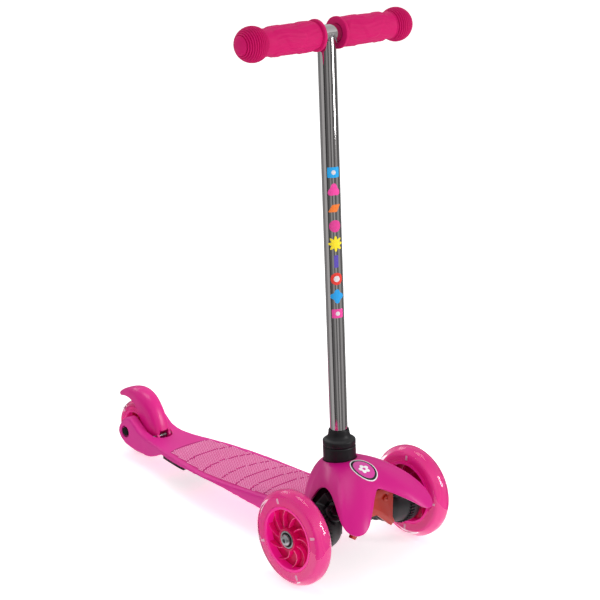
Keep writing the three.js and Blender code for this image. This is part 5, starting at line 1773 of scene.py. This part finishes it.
# How far from the ear's outer face, and how far in from its outline, the bevel has its steps
EAR_BEVEL = [(3.2, 0.0), (1.6, 0.5), (0.5, 1.5), (0.0, 3.0)]
EAR_SHARES = [
    (-0.95, -0.55), (-0.4, -0.55), (0.025, -0.475), (0.3, -0.3), (0.425, -0.1), (0.375, 0.125),
    (0.175, 0.375), (-0.05, 0.5625), (-0.275, 0.5875), (-0.55, 0.4125), (-0.85, 0.2), (-1.2, 0.1125),
    (-1.625, 0.075), (-1.625, -0.375), (-1.3, -0.5125),
]


def about_rear_axle(shares):
    """Shares of the rear wheel's radius as points (y, z)."""
    return [(REAR_AXLE[0] + REAR_RADIUS * y, REAR_AXLE[1] + REAR_RADIUS * z) for y, z in shares]


def deck_section(y, inset, top_drop, low):
    """The outer line of the deck at one station, from the left low edge over the top to the right."""
    half, top = deck_half(y) - inset, deck_top(y) - top_drop
    corners = [(half - DECK_DRAFT, low), (half, top), (0, top + HAIR)]
    corner = rounded(corners, DECK_RIM, closed=False, steps=6)[:-1]
    line = corner + [(share * half, top) for share in (0.75, 0.5, 0.25, 0.0)]
    return [(-x, y, z) for x, z in line] + [(x, y, z) for x, z in reversed(line[:-1])]


def deck_tray():
    """The outer and the inner line of each station, joined at their low edges and skinned in order."""
    rings = []
    for i in range(DECK_STATIONS + 1):
        y = DECK_FRONT + DECK_LENGTH * i / DECK_STATIONS
        outer = deck_section(y, 0, 0, deck_low(y))
        inner = deck_section(y, DECK_WALL, DECK_WALL, deck_low(y) - HAIR)
        rings.append(outer + list(reversed(inner)))
    return lofted(rings)


def ear_body(side):
    """One ear, its outer edge bevelled in a few steps towards the middle of its outline."""
    outline = rounded(about_rear_axle(EAR_SHARES), EAR_ROUND, steps=3)
    face = SLOT_HALF + EAR_THICKNESS
    count = len(outline)
    centre = Vector((sum(y for y, _ in outline) / count, sum(z for _, z in outline) / count))
    rings = []
    for x, inset in ((SLOT_HALF, 0.0), *[(face - back, inset) for back, inset in EAR_BEVEL]):
        ring = []
        for y, z in outline:
            toward = (centre - Vector((y, z))).normalized() * inset
            ring.append((side * x, y + toward.x, z + toward.y))
        rings.append(ring)
    return lofted(rings)


print("ears reach", SLOT_HALF + EAR_THICKNESS, "mm to each side of the rear wheel's middle")

# %% Ribs and heel
RIB_COUNT = 5
RIB_REACH = 325.0
RIB_HALF = 1.5
RIB_HEIGHT = 13.0
# Ribs end inside the walls, and clear the lowest edge of the deck
RIB_INSET = 2.0
RIB_CLEAR = 0.6
HEEL_STATIONS = (366.0, 376.0, 388.0, 401.0)
HEEL_LOW = 20.0
HEEL_INSET = 0.8


def deck_ribs():
    """Cross ribs under the standing area."""
    ribs = []
    for i in range(1, RIB_COUNT + 1):
        y = DECK_FRONT + RIB_REACH * i / (RIB_COUNT + 1)
        wide, low = deck_half(y) - RIB_INSET, max(deck_top(y) - RIB_HEIGHT, deck_low(y) + RIB_CLEAR)
        ribs.append(block((-wide, y - RIB_HALF, low), (wide, y + RIB_HALF, deck_top(y) - RIB_INSET)))
    return ribs


def rear_block():
    """The solid heel of the deck between the pocket and the ears."""
    lows = [max(deck_low(y), HEEL_LOW) for y in HEEL_STATIONS]
    return lofted([deck_section(y, HEEL_INSET, HEEL_INSET, low) for y, low in zip(HEEL_STATIONS, lows)])


print("ribs:", RIB_COUNT)

# %% Cuts and moulding
SLOT_FRONT = 398.4
SLOT_REAR = 520.0
POCKET_FLOOR = 31.5
POCKET_FRONT = 379.5
POCKET_REAR = 470.0
POCKET_ROUND = 14.0
POCKET_STEPS = 40
RECESS_RADIUS = 8.5
RECESS_DEPTH = 4.5
# The tools reach well past the deck above and below
TOOL_TOP = 120.0
TOOL_LOW = -10.0
RECESS_OVERRUN = 20.0
DECK_VOXEL = 1.25


def fender_pocket():
    """The pocket for the fender's foot, round in front and open behind."""
    outline = []
    for k in range(POCKET_STEPS + 1):
        turn = math.pi * k / POCKET_STEPS
        outline.append((-SLOT_HALF * math.cos(turn), POCKET_FRONT + POCKET_ROUND * (1 - math.sin(turn))))
    outline += [(SLOT_HALF, POCKET_REAR), (-SLOT_HALF, POCKET_REAR)]
    return lofted([[(x, y, z) for x, y in outline] for z in (POCKET_FLOOR, TOOL_TOP)])


def make_deck():
    shapes = [deck_tray(), ear_body(1), ear_body(-1), rear_block(), *deck_ribs()]
    deck = build("deck_moulding", shapes, ground)
    slot = block((-SLOT_HALF, SLOT_FRONT, TOOL_LOW), (SLOT_HALF, SLOT_REAR, TOOL_TOP))
    tools = [build("pocket_tool", [fender_pocket()], ground), build("slot_tool", [slot], ground)]
    for side in (1, -1):
        face = side * (SLOT_HALF + EAR_THICKNESS - RECESS_DEPTH)
        recess = cylinder(RECESS_RADIUS, face, face + side * RECESS_OVERRUN)
        tools.append(build("recess_tool", [moved(recess, Matrix.Translation((0, *REAR_AXLE)))], ground))
    cut_away(deck, *tools)
    fuse(deck, DECK_VOXEL, smooth=6)
    return finish_piece(deck, "deck", ("deck",), crease=60, material=deck_pink)


deck = make_deck()
print("deck faces:", len(deck.data.polygons))

# %% [markdown]
# ### Tread
#
# The standing area is split by curved grooves, and between them the surface is covered in small
# raised points. The panels are thin pads that follow the deck, cut along the arcs. A tree then drops a
# square grid of points onto them and sets a low six sided stud on each, 3.2 to 3.3 mm apart.

# %% Tread panels
# Where the standing area starts, has its grooves and ends, as shares of the deck's length
TREAD_START = 0.1
GROOVE_SHARES = [0.257, 0.329, 0.409, 0.492, 0.599, 0.704]
TREAD_END = 0.815
GROOVE_WIDTH = 1.3
GROOVE_RADIUS = 95.0
TREAD_MARGIN = 7.0
TREAD_PROUD = 0.45
# Points across and along one panel
PANEL_ACROSS, PANEL_ROWS = 24, 14
PAD_BEVEL = 0.3
PAD_DEPTH = 1.6
# Studs keep this far from a panel's edge
STUD_MARGIN = 0.8


def arc_y(y, x):
    """Where a groove that crosses the middle at y lies at this distance from the middle."""
    bow = math.sqrt(GROOVE_RADIUS**2 - x * x) - GROOVE_RADIUS
    return y + bow


def panel(start, end, inset):
    """A grid of points between two grooves, a little above the deck."""
    grid = []
    for r in range(PANEL_ROWS + 1):
        middle = mixed(start + inset, end - inset, r / PANEL_ROWS)
        half = deck_half(middle) - TREAD_MARGIN - inset
        row = []
        for c in range(PANEL_ACROSS + 1):
            x = half * (2 * c / PANEL_ACROSS - 1)
            y = arc_y(middle, x)
            row.append((x, y, deck_top(y) + TREAD_PROUD))
        grid.append(row)
    return grid


def sheet_from(rows):
    """A grid of points as one open sheet."""
    return [p for row in rows for p in row], ring_faces(len(rows), len(rows[0]), False, False)


def pad_from(rows):
    """Closes a grid of points into a pad with a small bevel and side walls down into the deck."""
    right, left = [row[-1] for row in rows[1:-1]], [row[0] for row in rows[1:-1]]
    edge = rows[0] + right + rows[-1][::-1] + left[::-1]
    middle_y = sum(y for _, y, _ in edge) / len(edge)
    shoulder, foot = [], []
    for x, y, z in edge:
        away = Vector((x, y - middle_y)).normalized() * PAD_BEVEL
        shoulder.append((x + away.x, y + away.y, z - PAD_BEVEL))
        foot.append((x + away.x, y + away.y, z - PAD_DEPTH))
    return [sheet_from(rows), (edge + shoulder + foot, ring_faces(3, len(edge), False))]


def tread_bounds():
    """Start and end along the deck, panel by panel."""
    marks = [DECK_FRONT + DECK_LENGTH * share for share in (TREAD_START, *GROOVE_SHARES, TREAD_END)]
    return [(a + GROOVE_WIDTH / 2, b - GROOVE_WIDTH / 2) for a, b in zip(marks, marks[1:])]


print("longest panel:", round(max(end - start for start, end in tread_bounds()), 1), "mm")

# %% Grooves and pads
# A groove's floor runs a little way under the pads beside it
FLOOR_OVERLAP = 0.3
FLOOR_INSET = 1.0
FLOOR_DEPTH = 1.5
FLOOR_PROUD = 0.25
FLOOR_STEPS = 24


def groove_shade_strip(share):
    """A strip painted dark as shade in one groove, rising a hair out of the deck."""
    middle, wide = DECK_FRONT + DECK_LENGTH * share, GROOVE_WIDTH / 2 + FLOOR_OVERLAP
    half = deck_half(middle) - TREAD_MARGIN - FLOOR_INSET
    rings = []
    for k in range(FLOOR_STEPS + 1):
        x = half * (2 * k / FLOOR_STEPS - 1)
        y = arc_y(middle, x)
        low, high = deck_top(y) - FLOOR_DEPTH, deck_top(y) + FLOOR_PROUD
        rings.append([(x, y - wide, low), (x, y + wide, low), (x, y + wide, high), (x, y - wide, high)])
    return lofted(rings)


def make_tread():
    """Pads and groove floors. It returns the sheet that the studs are dropped onto."""
    pads, guides = [], []
    for start, end in tread_bounds():
        pads += pad_from(panel(start, end, 0.0))
        guides.append(sheet_from(panel(start, end, STUD_MARGIN)))
    tread = build("tread_panels", pads, ground, tread_shaded_pink)
    finish_piece(tread, "deck", crease=40)
    floors = [groove_shade_strip(share) for share in (*GROOVE_SHARES, TREAD_END)]
    lines = build("groove_floors", floors, ground, groove_painted_shade_pink)
    finish_piece(lines, "deck", crease=40)
    return build("stud_guide", guides, ground, outward=False)


guide = make_tread()
print("tread panels:", len(tread_bounds()))

# %% Studs
STUD_PITCH = 3.2
STUD_ROWS = 84
STUD_COLUMNS = 31
STUD_SIDES = 6
# Radius and height of a stud's foot, which sinks into the pad, and of its top
STUD_FOOT = (1.1, -0.1)
STUD_TOP = (0.75, 0.6)
# The grid's middle behind the front axle, and the height that it is dropped from, in metres
GRID_MIDDLE = 0.195
GRID_HEIGHT = 0.2


def stud_tree(guide):
    """The object's mesh on every point of a square grid that meets the guide below it."""
    tree, given, wanted = new_tree("studs_on_surface", {
        "Pitch": ("NodeSocketFloat", 0.003),
        "Rows": ("NodeSocketInt", 120),
        "Columns": ("NodeSocketInt", 40),
        "Material": ("NodeSocketMaterial", None),
    })
    length = add(tree, "ShaderNodeMath", {0: given["Pitch"], 1: given["Rows"]}, operation="MULTIPLY")
    width = add(tree, "ShaderNodeMath", {0: given["Pitch"], 1: given["Columns"]}, operation="MULTIPLY")
    grid = add(tree, "GeometryNodeMeshGrid", {
        "Size X": width.outputs[0], "Size Y": length.outputs[0],
        "Vertices X": given["Columns"], "Vertices Y": given["Rows"],
    })
    surface = add(tree, "GeometryNodeObjectInfo", {"Object": guide})
    lift = add(tree, "GeometryNodeTransform", {
        "Geometry": grid.outputs["Mesh"], "Translation": (0, GRID_MIDDLE + front_axle_y, GRID_HEIGHT),
    })
    drop = add(tree, "GeometryNodeRaycast", {
        "Target Geometry": surface.outputs["Geometry"], "Ray Direction": (0, 0, -1), "Ray Length": 1.0,
    })
    missed = add(tree, "FunctionNodeBooleanMath", {0: drop.outputs["Is Hit"]}, operation="NOT")
    kept = add(
        tree, "GeometryNodeDeleteGeometry", {"Geometry": lift.outputs[0], "Selection": missed.outputs[0]},
        domain="POINT",
    )
    laid = add(tree, "GeometryNodeSetPosition", {
        "Geometry": kept.outputs[0], "Position": drop.outputs["Hit Position"],
    })
    copies = add(tree, "GeometryNodeInstanceOnPoints", {
        "Points": laid.outputs[0], "Instance": given["Geometry"],
    })
    end_tree(tree, copies.outputs["Instances"], given["Material"], wanted)
    return tree


def make_studs():
    turns = [2 * math.pi * k / STUD_SIDES for k in range(STUD_SIDES)]
    rings = [[(r * math.cos(t), r * math.sin(t), z) for t in turns] for r, z in (STUD_FOOT, STUD_TOP)]
    points, faces = lofted(rings, capped=False)
    faces.append(tuple(range(STUD_SIDES, 2 * STUD_SIDES)))
    studs = build("tread_studs", [(points, faces)], Matrix.Scale(MM, 4), outward=False)
    run_tree(studs, stud_tree(guide), {
        "Pitch": STUD_PITCH * MM, "Rows": STUD_ROWS, "Columns": STUD_COLUMNS, "Material": stud_highlight_pink,
    })
    bpy.data.objects.remove(guide)
    return finish_piece(studs, "deck", crease=20)


studs = make_studs()
print("stud faces:", len(studs.data.polygons))

# %% [markdown]
# ## Brake fender
#
# The fender is a curved finger of the same glossy plastic as the cover. Its stations give the crown
# and the skirt, and the section between them is a flattened arch. Drawn as a sheet and given a wall,
# it is hollow underneath, as the real one is, and its tip closes in a soft point.

# %% Fender
FENDER_HALF = 15.3
FENDER_WALL = 2.2
FENDER_EDGE = 0.6
FENDER_STEPS = 96
# The tip closes in three quick rings
TIP_SHRINKS = (0.02, 0.55, 0.85)
ARCH_STEPS = 28
# Shares of the section's height: where its straight sides end, where the arch starts, and its rise
SIDE_SHARE, ARCH_SHARE, ARCH_RISE = 0.2, 0.36, 0.64
# From tip to foot: crown (y, z) and skirt (y, z) in shares of the wheel's radius, then the half width
FENDER_SHARES = [
    (1.14, 0.99, 1.12, 0.96, 0.24), (1.0, 1.14, 0.93, 0.985, 0.52), (0.68, 1.32, 0.61, 1.07, 0.7),
    (0.3, 1.46, 0.325, 1.1, 0.84), (-0.03, 1.51, 0.075, 1.06, 0.93), (-0.35, 1.46, -0.15, 0.95, 1.0),
    (-0.67, 1.32, -0.325, 0.75, 1.0), (-0.94, 1.08, -0.425, 0.525, 0.98), (-1.14, 0.79, -0.6, 0.3, 0.97),
    (-1.27, 0.5, -0.8, 0.16, 0.95), (-1.36, 0.2, -1.12, 0.0, 0.77),
]


def fender_station(at):
    """Crown, skirt and width at this share of the way from tip to foot."""
    last = len(FENDER_SHARES) - 1
    table = [(i / last, *row) for i, row in enumerate(FENDER_SHARES)]
    return [eased(table, at, column) for column in range(1, 6)]


def fender_ring(at, shrink=1.0):
    """One section: up the left side, over a flattened arch and down the right side."""
    crown_y, crown_z, skirt_y, skirt_z, width = fender_station(at)
    (cy, cz), (sy, sz) = about_rear_axle([(crown_y, crown_z), (skirt_y, skirt_z)])
    my, mz = (cy + sy) / 2, (cz + sz) / 2
    line = [(-1.0, 0.0), (-1.0, SIDE_SHARE)]
    for k in range(ARCH_STEPS + 1):
        turn = math.pi * k / ARCH_STEPS
        across = -math.copysign(abs(math.cos(turn)) ** 0.8, math.cos(turn))
        line.append((across, ARCH_SHARE + ARCH_RISE * math.sin(turn) ** 0.85))
    line += [(1.0, SIDE_SHARE), (1.0, 0.0)]
    ring = []
    for across, rise in line:
        x = across * width * FENDER_HALF * shrink
        y, z = mixed(sy, cy, rise), mixed(sz, cz, rise)
        ring.append((x, mixed(my, y, shrink), mixed(mz, z, shrink)))
    return ring


print("fender stations:", len(FENDER_SHARES))

# %% Hinge and moulding
# The foot is notched between its two hinge lugs, to clear the spring and the deck's pocket
NOTCH_RADIUS = 8.6
NOTCH_SHIFT = Matrix.Translation((0, -1.5, 2.5))
LUG_BORE = 2.8
LUG_RADIUS = 7.0
LUG_START, LUG_END = 7.5, 11.5
LUG_ROUND = 0.5


def make_fender():
    rings = [fender_ring(0.0, shrink) for shrink in TIP_SHRINKS]
    rings += [fender_ring(i / FENDER_STEPS) for i in range(FENDER_STEPS + 1)]
    sheet = lofted(rings, capped=False, closed_ring=False)
    fender = build("fender_moulding", [sheet], ground, outward=False)
    face_out(fender)
    modify(fender, "SOLIDIFY", thickness=FENDER_WALL * MM, offset=-1.0)
    settle(fender)
    notch = moved(cylinder(NOTCH_RADIUS, -LUG_START, LUG_START), NOTCH_SHIFT)
    cut_away(fender, build("notch_tool", [notch], hinge))
    soften(fender, FENDER_EDGE, angle=60)
    return finish_piece(
        fender, "brake_fender", ("brake_fender",), crease=60, material=fender_painted_lighter_pink,
    )


def make_lugs():
    halves = []
    for a, b in ((-LUG_END, -LUG_START), (LUG_START, LUG_END)):
        outline = rounded([(LUG_BORE, a), (LUG_RADIUS, a), (LUG_RADIUS, b), (LUG_BORE, b)], LUG_ROUND)
        halves.append(turned(outline, 48))
    lugs = build("fender_hinge_lugs", halves, hinge, fender_painted_lighter_pink)
    return finish_piece(lugs, "brake_fender")


pin_middle = box_of("brake_pin")[2]
hinge = Matrix.Translation((0, pin_middle.y, pin_middle.z)) @ Matrix.Scale(MM, 4)
fender = make_fender()
make_lugs()
print("fender faces:", len(fender.data.polygons))

# %% [markdown]
# ## Stickers on the stem
#
# Bright stickers run up the front of the tube. These are plain shapes of their own: tiles and bars,
# dots, a hill, a clover and a sun, in colours that suit the scooter. Each is a flat outline wrapped
# onto the tube, a tenth of a millimetre thick.

# %% Sticker shapes
STICKER_SIZE = 9.0
STICKER_PROUD = 0.12
STICKER_ROUND = 0.16
# Height of the top sticker on the stem, the way down to the next, and their turn towards the camera
STICKER_TOP = 387.0
STICKER_STEP = 21.6
STICKER_TURN = math.radians(-25)


def finely(outline, longest=0.12):
    """The outline with points added until no edge is long, so that it can follow the round tube."""
    points = []
    for (x0, y0), (x1, y1) in zip(outline, outline[1:] + outline[:1]):
        parts = max(1, math.ceil(math.hypot(x1 - x0, y1 - y0) / longest))
        points += [(mixed(x0, x1, k / parts), mixed(y0, y1, k / parts)) for k in range(parts)]
    return points


def disc(size, steps=40):
    turns = [2 * math.pi * k / steps for k in range(steps)]
    return [(size * math.cos(t), size * math.sin(t)) for t in turns]


def rays(size, count, depth, steps=12):
    """Round lobes about the middle, the first one straight up, with notches of this depth."""
    points = []
    for k in range(count * steps):
        turn = 2 * math.pi * k / (count * steps)
        reach = size * (1 - depth * (0.5 - 0.5 * math.cos(count * turn)))
        points.append((-reach * math.sin(turn), reach * math.cos(turn)))
    return points


def bar(width, height, lean=0.0):
    """A tile with small round corners, which may lean to the right."""
    corners = [
        (-width - lean, -height), (width - lean, -height), (width + lean, height), (-width + lean, height),
    ]
    return finely(rounded(corners, STICKER_ROUND))


# Name, outline in shares of the sticker's size, and ink, from the top down
STICKERS = [
    ("top_tile", bar(0.85, 0.7), "#1a9fe0"),
    ("hill", rays(0.95, 3, 0.35), "#e8429c"),
    ("slope", bar(0.6, 0.5, 0.3), "#ee7a2e"),
    ("big_dot", disc(0.82), "#d93b8f"),
    ("sun", rays(1.08, 8, 0.42), "#f4dc22"),
    ("post", bar(0.3, 0.85), "#5b49b0"),
    ("ring", disc(0.85), "#e0392f"),
    ("clover", rays(1.0, 4, 0.34), "#1f9be0"),
    ("low_tile", bar(0.82, 0.62), "#e8429c"),
]
# Pale dots in the middle of some of them: which one, and the dot's size
EYES = [(0, 0.3), (6, 0.42), (8, 0.3)]
print("points on the longest outline:", max(len(outline) for _, outline, _ in STICKERS))

# %% Stickers round the tube
STICKER_RINGS = 5
# A sticker's foot lies inside the tube, at this share of its radius
FOOT_SHARE = 0.97


def wrapped(name, outline, height, proud, colour):
    """An outline laid round the front of the tube, with its middle at this height."""
    rows = []
    for r in range(STICKER_RINGS + 1):
        scale = STICKER_SIZE * (1 - r / STICKER_RINGS)
        reach = STEM_RADIUS + (proud if r else proud * 0.5)
        row = []
        for x, z in outline:
            turn = STICKER_TURN + x * scale / STEM_RADIUS
            row.append((reach * math.sin(turn), -reach * math.cos(turn), height + z * scale))
        rows.append(row)
    foot = [(x * FOOT_SHARE, y * FOOT_SHARE, z) for x, y, z in rows[0]]
    obj = build(name, [lofted([foot, *rows], capped=False)], stem_frame, film(f"{name}_ink", colour))
    return finish_piece(obj, "stem_tube", crease=50)


for i, (name, outline, colour) in enumerate(STICKERS):
    wrapped(f"sticker_{name}", outline, STICKER_TOP - i * STICKER_STEP, STICKER_PROUD, colour)
for i, size in EYES:
    wrapped(f"sticker_eye_{i}", disc(size), STICKER_TOP - i * STICKER_STEP, STICKER_PROUD * 2, "#d8d2d6")
print("stickers:", len(STICKERS), "with", len(EYES), "dots")
